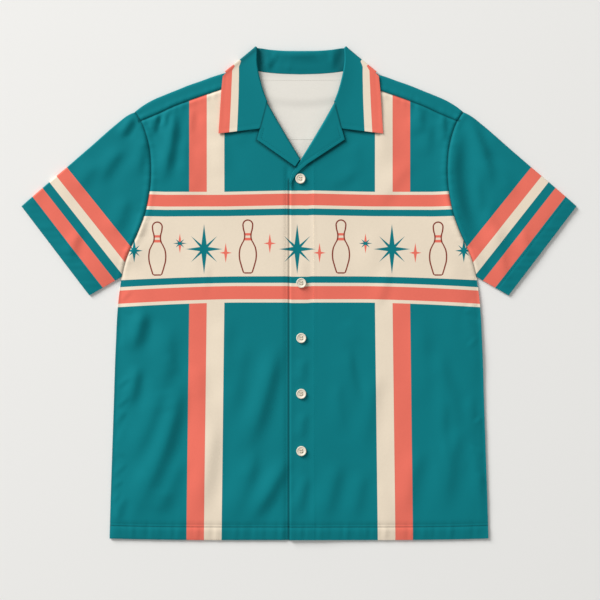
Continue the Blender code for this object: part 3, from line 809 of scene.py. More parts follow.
def make_sheet(name, grid, above, below, kept=None, from_edge=None, shade=None):
    """A closed sheet about a grid of points in mm, with a material for each face and painted shade kept on
    its points.
    """
    rows, columns = grid.shape[0] - 1, grid.shape[1] - 1
    kept = np.ones((rows, columns), bool) if kept is None else kept
    offset = unit(np.cross(tangents(grid, 1), tangents(grid, 0))) * CLOTH / 2
    count = grid.shape[0] * grid.shape[1]
    points = np.concatenate([(grid + offset).reshape(-1, 3), (grid - offset).reshape(-1, 3)]) * MM
    index = np.arange(count).reshape(grid.shape[:2])
    ring = np.stack([index[:-1, :-1], index[:-1, 1:], index[1:, 1:], index[1:, :-1]], -1)
    faces = [ring[kept], ring[kept][:, ::-1] + count]
    border = np.pad(kept, 1)
    for corner, (down, across) in enumerate(((-1, 0), (0, 1), (1, 0), (0, -1))):
        beyond = border[1 + down : 1 + down + rows, 1 + across : 1 + across + columns]
        open_side = ring[kept & ~beyond]
        start, end = open_side[:, corner], open_side[:, (corner + 1) % 4]
        faces.append(np.stack([end, start, start + count, end + count], -1))
    rim = 1 if above is inside_cloth else 0
    sides = np.repeat([0, 1, rim, rim, rim, rim], [len(part) for part in faces])
    used, faces = np.unique(np.concatenate(faces), return_inverse=True)
    mesh = bpy.data.meshes.new(f"{name}_cloth")
    mesh.from_pydata(points[used].tolist(), [], faces.reshape(-1, 4).tolist())
    mesh.materials.append(above)
    mesh.materials.append(below)
    mesh.polygons.foreach_set("material_index", sides.astype(np.int32))
    # painted shade along the armhole and chest seams, where no other shade is given
    if shade is None:
        shade = seam_shade(grid[..., 0], grid[..., 1]) * (grid[..., 2] > 2 * FLOOR + LAYER / 3)
    add_values(mesh, "seam_shade", np.tile(shade.ravel(), 2)[used])
    if from_edge is not None:
        add_values(mesh, "from_edge", np.tile(from_edge.ravel(), 2)[used])
    mesh.shade_smooth()
    mesh.set_sharp_from_angle(angle=math.radians(50))
    piece = bpy.data.objects.new(f"{name}_cloth", mesh)
    bpy.context.scene.collection.objects.link(piece)
    area = sum(face.area for face in mesh.polygons) / 2
    print(f"{name}: {len(mesh.polygons)} faces, {area:.4f} square metres of cloth")
    return piece


print("points across 100 mm of cloth:", len(steps(100, 5)))

# %% [markdown]
# ## Back and yoke
#
# The back lies on the table and shows only its off-white inside, in the opening of the neck. The
# yoke is the piece across the shoulders. It starts at the seam on the back, folds over each shoulder
# and ends at the seam on the chest, so it is one grid that goes round the fold.

# %% Back
BACK_CREASES = [  # from x, y to x, y, bow, half width, rise, as for the fronts
    (-22, 300, -16, 190, 2, 7, 0.5), (6, 296, 2, 196, -1, 9, 0.4), (30, 300, 22, 200, -2, 8, 0.5),
]
SIDE_LENGTH, CHEST_LENGTH, BACK_WIDTH = 396, 206, 560  # hem to underarm, underarm to yoke, across
underarm = SIDE_SEAM["y"][-1]


def seam_swell(x, y):
    """The uneven swell of both pieces along the seam of yoke and back."""
    return 0.25 * (1 + ripple(x * 0.45, 31)) * bell(y - BACK_SEAM_Y, 9)


upper = underarm + steps(CHEST_LENGTH, 5)[1:] * (BACK_SEAM_Y - SEAM / 2 - underarm)
rows = np.r_[steps(SIDE_LENGTH, 7), upper]  # shares up to the underarm, and above it places in mm
row, side = np.meshgrid(rows, steps(BACK_WIDTH, 6) * 2 - 1, indexing="ij")
y = np.where(row <= 1, hem_y(side * HEM_HALF) * (1 - row) + underarm * row, row)
half = np.where(y <= underarm, follow(SIDE_SEAM, y), armhole_half(y) - SEAM / 2)
x = side * half
seen = ease((95 - np.abs(x)) / 30) * ease((y - 150) / 30)
folds = sum(crease(x, y, *fold) for fold in BACK_CREASES)
level = FLOOR + np.maximum(seam_swell(x, y) + folds, 0) * seen
back = make_sheet("back", np.stack([x, y, level], -1), inside_cloth, body_cloth)


# %% Yoke
BACK_NECK = table("out y", (0, 329.3), (35, 330.6), (61, 333.5), (72, 336), (78.5, 338), (80, 338.3))
FALL_Y, FALL_RISE, FALL_HALF = 302, 29, 113.5  # the fall's lower edge, from its middle to its ends
YOKE_BACK, YOKE_FOLD, YOKE_END = 271, 272.4, 259  # heights on the armhole of its layers and its fold
SHOULDER_LENGTH, YOKE_DEPTH = 166, 100  # from the neck to the armhole, and from seam to shoulder


def under_collar(x, y):
    """1 where the yoke lies on the collar's fall, 0 away from it."""
    fall_edge = FALL_Y + FALL_RISE * ((x - COLLAR_X) / FALL_HALF) ** 2
    return ease((y - fall_edge + 24) / 14) * ease((129 - np.abs(x - COLLAR_X)) / 12)


def make_yoke():
    """Back layer, round fold over each shoulder, and the front strip down to the chest seam."""
    outer = steps(SHOULDER_LENGTH, 3.5)
    neck = np.linspace(-1, 1, 45)[1:-1]
    share = np.r_[-outer[::-1] - 1, neck, outer + 1]  # 1 to 2 from neck hole to armhole, on each side
    side = np.where(share < 0, -1, 1)
    past_neck = np.clip(np.abs(share) - 1, 0, 1)
    in_neck = np.clip(share, -1, 1) * NECK_HALF + COLLAR_X

    def across(end_half):
        return in_neck + past_neck * (side * (end_half - SEAM / 2) - in_neck)

    rows = []
    for t in steps(YOKE_DEPTH, 4):  # back layer
        x = across(armhole_half(BACK_SEAM_Y + t * (YOKE_BACK - BACK_SEAM_Y)))
        neck_y = follow(BACK_NECK, np.abs(x - COLLAR_X)) - 2 * SEAM
        top = np.where(np.abs(share) < 1, neck_y, follow(SHOULDER, np.abs(x)) - 3)
        y = BACK_SEAM_Y + SEAM / 2 + t * (top - BACK_SEAM_Y)
        swell = seam_swell(x, y) * (np.abs(x) < 90)
        rows.append(np.stack([x, y, FLOOR + LAYER * under_collar(x, y) + swell], -1))
    neck_row = len(rows) - 1
    x = across(armhole_half(YOKE_FOLD))
    fold = follow(SHOULDER, np.abs(x)) - CLOTH / 2
    low, high = FLOOR + LAYER * under_collar(x, fold), front_height(x, fold)
    radius = (high - low) / 2
    for angle in np.radians(np.linspace(-75, 75, 9)):
        y = fold - radius * (1 - math.cos(angle))
        rows.append(np.stack([x, y, (low + high) / 2 + radius * math.sin(angle)], -1))
    for t in np.r_[np.linspace(0.1, 0.85, 7), 0.9, 0.94, 0.97, 1]:  # front strip
        x = across(armhole_half(YOKE_FOLD + t * (YOKE_END - YOKE_FOLD)))
        start = follow(SHOULDER, np.abs(x)) - CLOTH / 2 - radius
        y = start + t * (follow(FORWARD_SEAM, np.abs(x)) + SEAM / 2 - start)
        rows.append(np.stack([x, y, front_height(x, y)], -1))
    grid = np.stack(rows)
    kept = np.ones((grid.shape[0] - 1, grid.shape[1] - 1), bool)
    first = len(outer) - 1
    kept[neck_row:, first : first + len(neck) + 1] = False
    # painted shade on the yoke's inside under the collar's stand, and painted seam shade on its front strip
    shade_under_stand = bell(grid[..., 1] - 330, 5) * (np.abs(grid[..., 0]) < 79) * 0.16
    seams = np.where(grid[..., 2] > 2.1, seam_shade(grid[..., 0], grid[..., 1]), shade_under_stand)
    return make_sheet("yoke", grid, inside_cloth, teal_cloth, kept, shade=seams)


yoke = make_yoke()

# %% [markdown]
# ## Fronts
#
# Each front runs from the hem to the chest seam, and from its free edge to the side seam and
# armhole. The wearer's left front laps over the right one. Rows of the grid turn from level at
# the underarm to the slope of the chest seam.


# %% Fronts
NOTCH, LEAF_POINT, LAPEL_TIP = (61, 247.4), (123.4, 239.7), (65.8, 230.7)
# painted shadow: a dark line on the front below the lower edges of the leaf and the lapel
SHADOW_LINE_START = (118, 240.4)  # a little in from the point of the leaf
SHADOW_LINE_DROP = 1.8  # the darkest line lies this far below the edge that casts it
TOP_IN, TOP_OUT = 320, 258.4  # heights of the front's upper edge at the neck and at the armhole
FRONT_WIDTH, FRONT_CHEST = 285, 268  # from edge to side seam, and from underarm to shoulder


def make_front(name, side, edge, height, lapel_end):
    """One front; side is -1 or 1, edge the table of its free edge, lapel_end where its lapel ends."""
    turn = ROLL["y"] < NECK_EDGE["y"][0] - 4
    ys = np.r_[edge["y"], ROLL["y"][turn][1:], NECK_EDGE["y"]]
    rolled = COLLAR_X + side * (ROLL["out"][turn][1:] + ROLL_INSET)
    xs = np.r_[edge["x"], rolled, COLLAR_X + side * NECK_EDGE["out"]]
    t = steps(FRONT_WIDTH, 3.2)
    top_x = np.interp(TOP_IN, ys, xs) * (1 - t) + side * (armhole_half(TOP_OUT) - SEAM / 2) * t
    sewn = follow(FORWARD_SEAM, np.abs(top_x)) - SEAM / 2 - (TOP_IN + t * (TOP_OUT - TOP_IN))
    rows = []
    for share in np.r_[steps(SIDE_LENGTH, 3.2), 1 + steps(FRONT_CHEST, 3.2)[1:]]:
        past = max(share - 1, 0)
        low = min(share, 1)
        inner_y = hem_y(0) + low * (underarm - hem_y(0)) + past * (TOP_IN - underarm)
        outer_y = hem_y(HEM_HALF) + low * (underarm - hem_y(HEM_HALF)) + past * (TOP_OUT - underarm)
        seam = armhole_half(outer_y) - SEAM / 2 if past else follow(SIDE_SEAM, outer_y)
        inner_x = np.interp(inner_y, ys, xs)
        x = inner_x + t * (side * seam - inner_x)
        y = inner_y + t * (outer_y - inner_y)
        hem = hem_y(x) - (hem_y(0) + t * (hem_y(HEM_HALF) - hem_y(0)))
        y = y + (1 - share) * hem if share < 1 else y + past**2 * sewn
        rows.append(np.stack([x, y, height(x, y)], -1))
    grid = np.stack(rows)
    out, y = (grid[..., 0] - COLLAR_X) * side, grid[..., 1]
    # painted shadow below the leaf's and the lapel's edges, together with the painted seam shade
    away = distance(out, y + SHADOW_LINE_DROP, SHADOW_LINE_START, NOTCH, LAPEL_TIP, lapel_end)
    shade = np.maximum(seam_shade(grid[..., 0], y), 1.05 * bell(away, 2.3))
    if side < 0:
        grid, shade = grid[:, ::-1], shade[:, ::-1]
    return make_sheet(name, grid, body_cloth, inside_cloth, shade=shade)


front_right = make_front("front_right", -1, UNDER_EDGE, under_height, (8.6, 190.4))
front_left = make_front("front_left", 1, OVER_EDGE, over_height, (9.5, 193.8))

# %% [markdown]
# ## Sleeves
#
# A short sleeve laid flat is a tube that was pressed down: a front layer, a soft fold along the top,
# and a back layer. The seam is along the underarm. The grid is filled in between four edges:
# armhole, cuff, underarm and top.


# %% Sleeves
SLEEVE_TURN = math.radians(40.3)  # slope of the sleeve's folded top
SHOULDER_Y = 272.5  # upper end of the armhole
UNDERARM_SEAM, ARMHOLE_SEAM = 190, 248  # lengths that the grid of a sleeve is cut into


def make_sleeve(name, side):
    """Front layer from underarm to top fold, round the fold, and the back layer down again."""
    along, up = steps(UNDERARM_SEAM, 3.4), steps(ARMHOLE_SEAM, 3.4)
    out = np.array([math.sin(SLEEVE_TURN), math.cos(SLEEVE_TURN)])
    seam_y = underarm + up * (SHOULDER_Y - underarm)
    armhole = np.stack([armhole_half(seam_y) + SEAM / 2, seam_y], -1)
    top_x = armhole[-1, 0] + along * (SLEEVE_TOP["x"][-1] - armhole[-1, 0])
    top = np.stack([top_x, follow(SLEEVE_TOP, top_x)], -1)
    high = front_height(side * top[:, 0], top[:, 1])
    inset = top - out * ((high - FLOOR) / 2 + CLOTH / 2)[:, None]
    armhole = armhole + up[:, None] ** 18 * (inset[0] - armhole[-1])
    cuff, under = route([CUFF_BOTTOM, inset[-1]], up), route([armhole[0], CUFF_BOTTOM], along)
    flat = fill_in(armhole, cuff, under, inset, along, up)
    front = np.concatenate([flat, front_height(side * flat[..., 0], flat[..., 1])[..., None]], -1)
    below = np.concatenate([flat, np.full(flat.shape[:2] + (1,), FLOOR)], -1)
    radius = (front[-1, :, 2] - FLOOR) / 2
    fold = []
    for angle in np.radians(np.linspace(65, -65, 7)):
        plan = inset + out * (radius * math.cos(angle))[:, None]
        fold.append(np.c_[plan, FLOOR + radius * (1 + math.sin(angle))])
    grid = np.concatenate([front, np.stack(fold), below[::-1]])
    grid[..., 0] *= side
    return make_sheet(name, grid if side < 0 else grid[:, ::-1], inside_cloth, sleeve_cloth)


sleeve_right = make_sleeve("sleeve_right", -1)
sleeve_left = make_sleeve("sleeve_left", 1)

# %% [markdown]
# ## Collar
#
# A camp collar is one piece: from the neck seam it stands up a little, rolls over, and falls flat.
# Behind the neck the fall is underneath; on the front it is the pointed leaf. Stations are
# set round the neck, from the middle of the back to the gorge seam, where collar and lapel meet. Each
# station is a profile of stand, roll and leaf.

# %% Stations of the collar
BACK_ROLL = table("out y", (0, 364), (28, 364.5), (48, 366.3), (59, 368), (65.5, 368.7))
BACK_EDGE = table("out y", (0, 302), (60, 310), (111.6, 330.8))
FRONT_NECK = table("y out", (288.3, 55), (296, 66), (307, 75), (320, 79.1), (330, 79.2), (338, 78.5))
FRONT_STATIONS = table(
    "share roll_x roll_y neck_y lift",
    (0, 65.5, 368.7, 338, 1.7), (0.2, 65.8, 350, 331, 1.6), (0.4, 63.4, 333, 321, 1.5),
    (0.6, 60, 318, 308, 1.3), (0.8, 55.7, 303, 297, 1.1), (1, 49.6, 286.6, 288.3, 0.9),
)
LEAF_OUTER = [(111.6, 330.8), (117, 326), (119.3, 303), (123.4, 239.7)]
NOTCH_SHARE = 0.388  # of the way along the leaf's lower edge
RIDGE_OUT = np.array([0.638, 0.77])  # square to the collar's fold over the shoulder
TURN = np.radians(np.linspace(0, 180, 9))
EDGE_STITCH = 5.5  # from a free edge of collar or lapel in to its line of stitches
LEAF_EDGE = LEAF_OUTER[1:] + [NOTCH]
LEAF_WIDTH, LEAF_RUN = 74, 95  # from the roll to the outer edge, and from the shoulder to the gorge


def station(neck, roll, stand_low, stand_high, fall_high):
    """Plan and height of one profile: neck seam, stand, and round the roll."""
    towards = unit(roll - neck)
    radius = (fall_high - stand_high) / 2
    end = roll - towards * (abs(radius) + CLOTH / 2)
    plan = [neck + s * (end - neck) for s in (0, 0.06, 0.2, 0.4, 0.6, 0.8)]
    plan += [end + towards * abs(radius) * math.sin(a) for a in TURN]
    z = [stand_low + s * (stand_high - stand_low) for s in (0, 0.06, 0.2, 0.4, 0.6, 0.8)]
    z += [stand_high + radius * (1 - math.cos(a)) for a in TURN]
    return np.array(plan), np.array(z)


def edge_swell(plan, edge):
    """A thick rolled edge and the valley of the stitches beside it, along a free edge."""
    away = distance(plan[..., 0], plan[..., 1], *edge)
    return 0.12 * bell(away - 1.8, 1.6) - 0.2 * bell(away - EDGE_STITCH, 1.1)


def gorge_shade(x, y):
    """Painted shade: 1 along the gorge seams, where collar and lapel meet, and 0 elsewhere."""
    return 0.9 * bell(distance(np.abs(x - COLLAR_X), y, (50.6, 286.6), NOTCH), 1.1)


def leaf_grid(rolled, across, down):
    """Plan of the leaf on the front: from the roll, in the first column, to its outer edge."""
    outer = route(LEAF_OUTER, down)
    ridge = rolled[0] + across[:, None] * (outer[0] - rolled[0])
    low = route([rolled[-1], NOTCH, LEAF_POINT], across)
    return fill_in(rolled, outer, ridge, low, across, down)


print("stations from the shoulder to the gorge:", len(steps(LEAF_RUN, 2.6)))


# %% Collar
STAND_CREASES = [  # the same, for the inside of the stand
    (-62, 370, -50, 328, -1, 5, -1.2), (-50, 366, -43, 330, 1, 4, 0.9), (-30, 362, -54, 340, 2, 4, 0.8),
    (66, 370, 56, 328, 1, 5, -1.2), (54, 366, 48, 330, -1, 4, 0.9), (26, 364, 48, 338, 2, 4, 0.8),
    (-40, 351, 44, 350, 0, 5, -0.9), (-24, 358, 36, 357, 1, 4, 0.6), (-10, 345, -22, 333, 1, 4, 0.5),
]


def half_collar(side):
    """Profiles from the middle of the back over the shoulder to the gorge; side is -1 or 1."""
    across = np.sort(np.r_[steps(LEAF_WIDTH, 2.6), NOTCH_SHARE])
    back = []
    for t in np.linspace(0, 1, 26):
        neck, roll, edge = (  # each at its share of the way to the last row that the back needs
            np.array([t * rows["out"][last], follow(rows, t * rows["out"][last])])
            for rows, last in ((BACK_NECK, -2), (BACK_ROLL, -1), (BACK_EDGE, -1))
        )
        crest = FLOOR + LAYER + 1.2 + 3.8 * (1 - ease(t))
        plan, z = station(neck, roll, FLOOR + LAYER, crest, FLOOR)
        fall = plan[-1] + across[1:, None] * (edge - plan[-1])
        back.append(np.c_[np.r_[plan, fall], np.r_[z, np.full(len(fall), FLOOR)]])
    shares = steps(LEAF_RUN, 2.6)
    read = {key: smooth(shares, FRONT_STATIONS["share"], FRONT_STATIONS[key]) for key in FRONT_STATIONS}
    profiles = []
    for roll_x, roll_y, neck_y, lift in zip(*(read[key] for key in ("roll_x", "roll_y", "neck_y", "lift"))):
        roll, neck = np.array([roll_x, roll_y]), np.array([follow(FRONT_NECK, neck_y), neck_y])
        level = calm_height(COLLAR_X + side * roll[0], roll[1])
        profiles.append((*station(neck, roll, level - 0.3, level, level + LAYER + lift + 0.9), lift))
    leaf = leaf_grid(np.array([plan[-1] for plan, _, _ in profiles]), across, shares)
    front = []
    for (plan, z, lift), flat in zip(profiles, leaf):
        body = calm_height(COLLAR_X + side * flat[:, 0], flat[:, 1])
        reach = np.linalg.norm(flat - flat[0], axis=1)
        lie = body + LAYER + 1.2 + (lift - 0.3) * (1 - rounded(reach / 34)) + edge_swell(flat, LEAF_EDGE)
        front.append(np.c_[np.r_[plan, flat[1:]], np.r_[z, lie[1:]]])
    low, high = back[-1], front[0]
    radius = (high[:, 2] - low[:, 2]) / 2
    ridge = []
    for angle in np.radians(np.linspace(-70, 70, 7)):
        middle = (low + high) / 2
        middle[:, :2] += RIDGE_OUT * (radius * math.cos(angle))[:, None]
        middle[:, 2] += radius * math.sin(angle)
        ridge.append(middle)
    half = np.stack(back + ridge + front)
    half[..., 0] = COLLAR_X + side * half[..., 0]
    stand, last = half[: len(back), 1:10], half[: len(back), 1:10, 2]
    worked = sum(crease(stand[..., 0], stand[..., 1], *row) for row in STAND_CREASES)
    last += worked * np.r_[0.3, 0.7, 1, 1, 1, 1, 1, 0.6, 0.2]
    return half


# %% Both halves, with the stripes' distances and the painted shade
grid = np.concatenate([half_collar(-1)[::-1], half_collar(1)[1:]]).transpose(1, 0, 2)
lengths = np.linalg.norm(np.diff(grid, axis=0), axis=-1)
to_edge = np.concatenate([np.cumsum(lengths[::-1], axis=0)[::-1], np.zeros((1, grid.shape[1]))])
x, y, z = grid[..., 0], grid[..., 1], grid[..., 2]
out = np.abs(x - COLLAR_X)
# painted shade on the stand: darker in the corners inside the peaks, and a little darker all over
on_stand = (np.arange(len(grid)) < 9)[:, None] & (y > 332) & (out < 70)
corners = 0.6 * bell(out - 60, 8) * on_stand + 0.08 * on_stand
# painted shade on the side of the fold over the shoulder at negative x that faces the key light
shoulder_ridge = (COLLAR_X - 66, 368), (COLLAR_X - 116, 330)
ridge = 0.6 * bell(distance(x, y, *shoulder_ridge), 4.5) * (z > 1.5)
# painted shade in the gorge seams as well
dark = np.maximum(np.maximum(gorge_shade(x, y) * (z > 2.5), corners), ridge)
collar = make_sheet("collar", grid, collar_cloth, collar_cloth, from_edge=to_edge, shade=dark)

# %% [markdown]
# ## Lapels
#
# Below the gorge the front itself is turned out, and its facing shows as a lapel. It is made as a
# sheet of its own that starts with the roll, which covers the edge of the front below it.


# %% Lapels
LAPEL_LENGTH = 120  # along its edge


def make_lapel(name, side, roll, outer):
    """A turned-out lapel: its roll hides the edge of the front, and its leaf lies on the front."""
    lengths = np.r_[0, np.cumsum(np.linalg.norm(np.diff(np.array(outer), axis=0), axis=1))]
    share = np.sort(np.r_[steps(LAPEL_LENGTH, 2.6, (0.8, 2.0)), lengths[1] / lengths[-1]])
    fold, edge = route(roll, share), route(outer, share)
    direction = unit(edge - fold)
    along = unit(np.gradient(fold, axis=0))
    away = np.stack([-along[:, 1], along[:, 0]], -1)
    away = away * np.sign((away * direction).sum(-1, keepdims=True))
    narrow = np.minimum(1, np.linalg.norm(edge - fold, axis=1) / 6)
    columns = []
    for inset, rise in ((0.5, -0.3), (0.25, 0.5), (0.5, 1.4), (0.9, 2.2), (1.4, 2.8), (2.0, 3.1)):
        columns.append((fold + away * (inset * narrow)[:, None], rise))
    for t in np.r_[np.linspace(0.12, 0.8, 15), 0.84, 0.87, 0.895, 0.92, 0.94, 0.96, 0.98, 1.0]:
        columns.append((fold + (edge - fold) * t, None))
    grid = []
    for plan, rise in columns:
        x, y = COLLAR_X + side * plan[:, 0], plan[:, 1]
        reach = np.linalg.norm(plan - fold, axis=1)
        lift = LAYER + 1.5 + 0.4 * (1 - rounded(reach / 20)) if rise is None else rise
        swell = 0 if rise is not None else edge_swell(plan, outer)
        grid.append(np.stack([x, y, calm_height(x, y) + lift + swell], -1))
    grid = np.stack(grid) if side < 0 else np.stack(grid)[:, ::-1]
    # painted shade along the gorge seam
    return make_sheet(name, grid, teal_cloth, teal_cloth, shade=gorge_shade(grid[..., 0], grid[..., 1]))


LAPEL_GORGE, LAPEL_NOTCH = (51.6, 288.2), (61.0, 247.6)
under_roll = [LAPEL_GORGE, (36.8, 261.6), (17.1, 228.2), (0.9, 201.8)]
over_roll = under_roll[:3] + [(0, 200.4), (-7.7, 187), (-12.5, 180.5), (-16.9, 167)]
over_outer = [(9.5, 193.8), (-0.7, 185), (-7.2, 177.8), (-13.0, 169), (-14.7, 157)]
lapel_right = make_lapel("lapel_right", -1, under_roll, [LAPEL_NOTCH, LAPEL_TIP, (8.6, 190.4)])
lapel_left = make_lapel("lapel_left", 1, over_roll, [LAPEL_NOTCH, LAPEL_TIP] + over_outer)

# %% [markdown]
# ## Buttons
#
# The buttons are cast in cream resin: a thick rim, a shallow dish and four holes. One is modelled by
# hand from a cylinder: its top face is inset and pressed down for the dish, the edges are
# rounded, and four thin cylinders cut the holes. The thread goes through the holes in two bars. The
# same model is then copied to each place, on the over front's own height.


# %% Finish of the buttons
def make_resin(name, colour):
    """Cast resin: cloudy, faintly streaked, with a satin gloss."""
    made, place, _ = start_finish(name)
    cloud, streak = noise(place, 0.22, 3.0), noise(place, 1.4, 2.0)
    deep = tuple(v * 0.82 for v in colour[:3]) + (1,)
    drive(made, "Base Color", mix(cloud.above(0.5, 0.35) * 0.8, colour, deep))
    drive(made, "Roughness", 0.34 + (streak - 0.5) * 0.16)
    add_bump(made, streak * 0.08, 0.25)
    return made


button_resin = make_resin("cream button resin", BUTTON_CREAM)
button_thread = make_plain_cloth("cream button thread", linear(206, 194, 170))

# %% One button, modelled by hand
BUTTON_RADIUS, BUTTON_HEIGHT, RIM, DISH = 7.4, 2.8, 1.7, 0.7
HOLE_RADIUS, HOLE_REACH = 0.95, 1.7  # a hole's middle is this far out in x and in y


def top_faces(mesh, height):
    """Select the faces that look up at a height in mm, in edit mode, and count them."""
    work = bmesh.from_edit_mesh(mesh)
    for face in work.faces:
        face.select_set(face.normal.z > 0.9 and abs(face.calc_center_median().z / MM - height) < 0.01)
    bmesh.update_edit_mesh(mesh)
    return sum(face.select for face in work.faces)


def model_button():
    """A dished button, still without holes and thread, about the origin, standing on the plane z = 0."""
    deselect()
    bpy.ops.mesh.primitive_cylinder_add(
        vertices=48, radius=BUTTON_RADIUS * MM, depth=BUTTON_HEIGHT * MM,
        location=(0, 0, BUTTON_HEIGHT / 2 * MM),
    )
    disc = bpy.context.object
    bpy.ops.object.transform_apply(location=True, rotation=False, scale=False)
    bpy.ops.object.mode_set(mode="EDIT")
    bpy.ops.mesh.select_mode(type="FACE")
    bpy.ops.mesh.select_all(action="DESELECT")
    found = top_faces(disc.data, BUTTON_HEIGHT)
    bpy.ops.mesh.inset(thickness=RIM * MM)
    bpy.ops.mesh.inset(thickness=0.5 * MM)
    bpy.ops.transform.translate(value=(0, 0, -DISH * MM))
    bpy.ops.object.mode_set(mode="OBJECT")
    rounding = disc.modifiers.new("worn edges", "BEVEL")
    rounding.width, rounding.segments, rounding.angle_limit = 0.55 * MM, 3, math.radians(30)
    bpy.ops.object.modifier_apply(modifier="worn edges")
    print("faces on top before the dish:", found)
    return disc


def cut_holes(disc):
    """Four holes through the dish, cut with thin cylinders."""
    for i in (-1, 1):
        for j in (-1, 1):
            deselect()
            place = (i * HOLE_REACH * MM, j * HOLE_REACH * MM, BUTTON_HEIGHT / 2 * MM)
            bpy.ops.mesh.primitive_cylinder_add(
                vertices=16, radius=HOLE_RADIUS * MM, depth=3 * BUTTON_HEIGHT * MM, location=place
            )
            drill = bpy.context.object
            deselect()
            disc.select_set(True)
            bpy.context.view_layer.objects.active = disc
            hole = disc.modifiers.new("hole", "BOOLEAN")
            hole.operation, hole.object, hole.solver = "DIFFERENCE", drill, "EXACT"
            bpy.ops.object.modifier_apply(modifier="hole")
            bpy.data.objects.remove(drill)
    print("button faces with its holes:", len(disc.data.polygons))


def thread_bars():
    """Two bars of thread, each from one hole over to the next, with ends that go down the holes."""
    bars = []
    for side in (-1, 1):
        deselect()
        bpy.ops.mesh.primitive_cylinder_add(
            vertices=12, radius=0.5 * MM, depth=2 * HOLE_REACH * MM, rotation=(0, math.pi / 2, 0),
            location=(0, side * HOLE_REACH * MM, (BUTTON_HEIGHT - DISH + 0.25) * MM),
        )
        bar = bpy.context.object
        bpy.ops.object.transform_apply(location=True, rotation=True, scale=False)
        bpy.ops.object.mode_set(mode="EDIT")
        for end in (-1, 1):
            bpy.ops.mesh.select_all(action="DESELECT")
            work = bmesh.from_edit_mesh(bar.data)
            for face in work.faces:
                face.select_set(face.normal.x * end > 0.9)
            bmesh.update_edit_mesh(bar.data)
            for move in ((end * 0.35 * MM, 0, -0.45 * MM), (0, 0, -1.2 * MM)):
                bpy.ops.mesh.extrude_region_move(TRANSFORM_OT_translate={"value": move})
        bpy.ops.object.mode_set(mode="OBJECT")
        bar.data.materials.append(button_thread)
        bars.append(bar)
    return bars


one_button = model_button()
cut_holes(one_button)
one_button.data.materials.append(button_resin)
bars = thread_bars()
deselect()
for part in (*bars, one_button):
    part.select_set(True)
bpy.context.view_layer.objects.active = one_button
bpy.ops.object.join()
bpy.ops.object.shade_smooth_by_angle(angle=math.radians(40))

# %% Copies, each with its own mesh
BUTTON_PLACES = [(2.1, 171.9), (3.3, 15.5), (3.3, -67), (3.3, -150.6), (3.5, -236.5)]
buttons = []
for number, (x, y) in enumerate(BUTTON_PLACES, 1):
    deselect()
    one_button.select_set(True)
    bpy.context.view_layer.objects.active = one_button
    bpy.ops.object.duplicate()
    button = bpy.context.object
    button.name = f"sewn_button_{number}"
    bottom = float(over_height(np.array([x]), np.array([y]))[0]) + CLOTH / 2 + 0.15
    button.location = (x * MM, y * MM, bottom * MM)
    button.rotation_euler = (0, 0, math.radians(17 * number % 90 - 45) * 0.2)
    bpy.ops.object.transform_apply(location=True, rotation=True, scale=True)
    buttons.append(button)
bpy.data.objects.remove(one_button)
print("buttons:", len(buttons), "with", len(buttons[0].data.polygons), "faces each")

# %% [markdown]
# ## Stitches
#
# Machine stitches hold the hems, the facing, the neck seam and the free edges of collar and lapels.
# Each is a short, plump bit of thread that lies in the dent it has pulled. One stitch is modelled and
# then copied along every line, and each line's copies are joined as one mesh. The place and the tilt
# of each come from a ray that is dropped onto the finished cloth below.


# %% One stitch, and lines of them
STITCH_LENGTH, STITCH_GAP, THREAD = 2.5, 0.7, 0.22  # length, gap to the next, half thickness


def model_stitch():
    """Points and faces of one stitch about the origin, long in x, in mm."""
    deselect()
    bpy.ops.mesh.primitive_uv_sphere_add(segments=6, ring_count=4, radius=1)
    bead = bpy.context.object
    bpy.ops.object.mode_set(mode="EDIT")
    bpy.ops.mesh.select_all(action="SELECT")
    bpy.ops.transform.resize(value=(STITCH_LENGTH / 2, THREAD, THREAD))
    bpy.ops.object.mode_set(mode="OBJECT")
    points = np.array([vertex.co[:] for vertex in bead.data.vertices])
    faces = [list(face.vertices) for face in bead.data.polygons]
    bpy.data.objects.remove(bead)
    return points, faces


stitch_points, stitch_faces = model_stitch()
print("one stitch has", len(stitch_faces), "faces")


def sew(name, sheet, lines, finish):
    """One mesh of stitches along lines of x and y in mm, on the upper face of a sheet."""
    mesh = sheet.data
    ground = BVHTree.FromPolygons([v.co for v in mesh.vertices], [p.vertices for p in mesh.polygons])
    points, faces = [], []
    for line in lines:
        line = np.array(line, float)
        length = np.linalg.norm(np.diff(line, axis=0), axis=1).sum()
        count = int(length // (STITCH_LENGTH + STITCH_GAP))
        middles = route(line, (np.arange(count) + 0.5) / count)
        ahead = unit(np.gradient(middles, axis=0))
        for (x, y), (along_x, along_y) in zip(middles, ahead):
            hit, normal, _, _ = ground.ray_cast(Vector((x * MM, y * MM, 0.05)), Vector((0, 0, -1)))
            if hit is None or normal.z < 0.3:
                continue
            along = np.array([along_x, along_y, 0.0])
            along = unit(along - np.dot(along, normal) * np.array(normal))
            frame_of = np.stack([along, np.cross(np.array(normal), along), np.array(normal)])
            base = len(points) * len(stitch_points)
            points.append(stitch_points @ frame_of * MM + np.array(hit) + np.array(normal) * 0.08 * MM)
            faces.extend([base + corner for corner in face] for face in stitch_faces)
    made = bpy.data.meshes.new(name)
    made.from_pydata(np.concatenate(points).tolist(), [], faces)
    made.materials.append(finish)
    made.shade_smooth()
    threads = bpy.data.objects.new(name, made)
    bpy.context.scene.collection.objects.link(threads)
    print(f"{name}: {len(points)} stitches, {len(faces)} faces")
    return threads


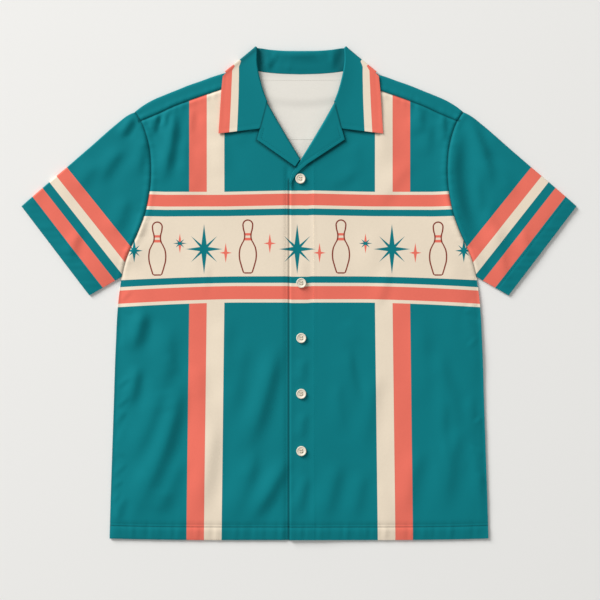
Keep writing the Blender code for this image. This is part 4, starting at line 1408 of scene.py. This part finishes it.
# %% Sew every line
def hem_line(start, end, up):
    x = np.linspace(start, end, 40)
    return np.stack([x, hem_y(x) + up], -1)


def cuff_line(side):
    """The seam of a turned-up cuff, across the front of a sleeve."""
    along = unit(np.subtract(CUFF_TOP, CUFF_BOTTOM).astype(float))
    start = np.array(CUFF_BOTTOM) + np.array(CUFF_IN) * TURNED
    ends = np.array([start + along * 2.0, start + along * 164.0])
    return ends * (side, 1)


def mirrored(line, side):
    return [(COLLAR_X + side * out, y) for out, y in line]


LAPEL_STITCH = [(55.0, 248.4), (59.3, 232.6), (24.0, 207.6)]
# the right front also has a line close to its folded hem edge
front_hem = [hem_line(-281, -16, TURNED), hem_line(-281, -16, 1.6)]
facing_line, neck_line = [(FACING_X, -369), (FACING_X, 196)], [(-63, 320.6), (0, 320.0), (68, 320.6)]
stitches = [
    sew("stitches_front_right", front_right, front_hem, body_thread),
    sew("stitches_front_left", front_left, [hem_line(-12, 281, TURNED)], body_thread),
    # the facing's stitches carry a painted highlight
    sew("stitches_facing", front_left, [facing_line], highlight_thread),
    sew("stitches_sleeve_right", sleeve_right, [cuff_line(-1)], teal_thread),
    sew("stitches_sleeve_left", sleeve_left, [cuff_line(1)], teal_thread),
    sew("stitches_neck", yoke, [neck_line], inside_thread),
    sew("stitches_lapel_right", lapel_right, [mirrored(LAPEL_STITCH, -1)], teal_thread),
    sew("stitches_lapel_left", lapel_left, [mirrored(LAPEL_STITCH, 1)], teal_thread),
]
print("stitched lines:", len(stitches))

# %% [markdown]
# ## Hand the pieces over
#
# Every piece rides on the shirt's one body and stands for its plain piece.

# %% Sheets, stitches and buttons
pieces = (back, yoke, front_right, front_left, sleeve_right, sleeve_left, collar, lapel_right, lapel_left)
for piece in pieces:
    node = piece.name.removesuffix("_cloth")
    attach(piece, "root")
    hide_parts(node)
for thread in stitches:
    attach(thread, "root")
for number, button in enumerate(buttons, 1):
    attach(button, "root")
    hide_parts(f"button_{number}")
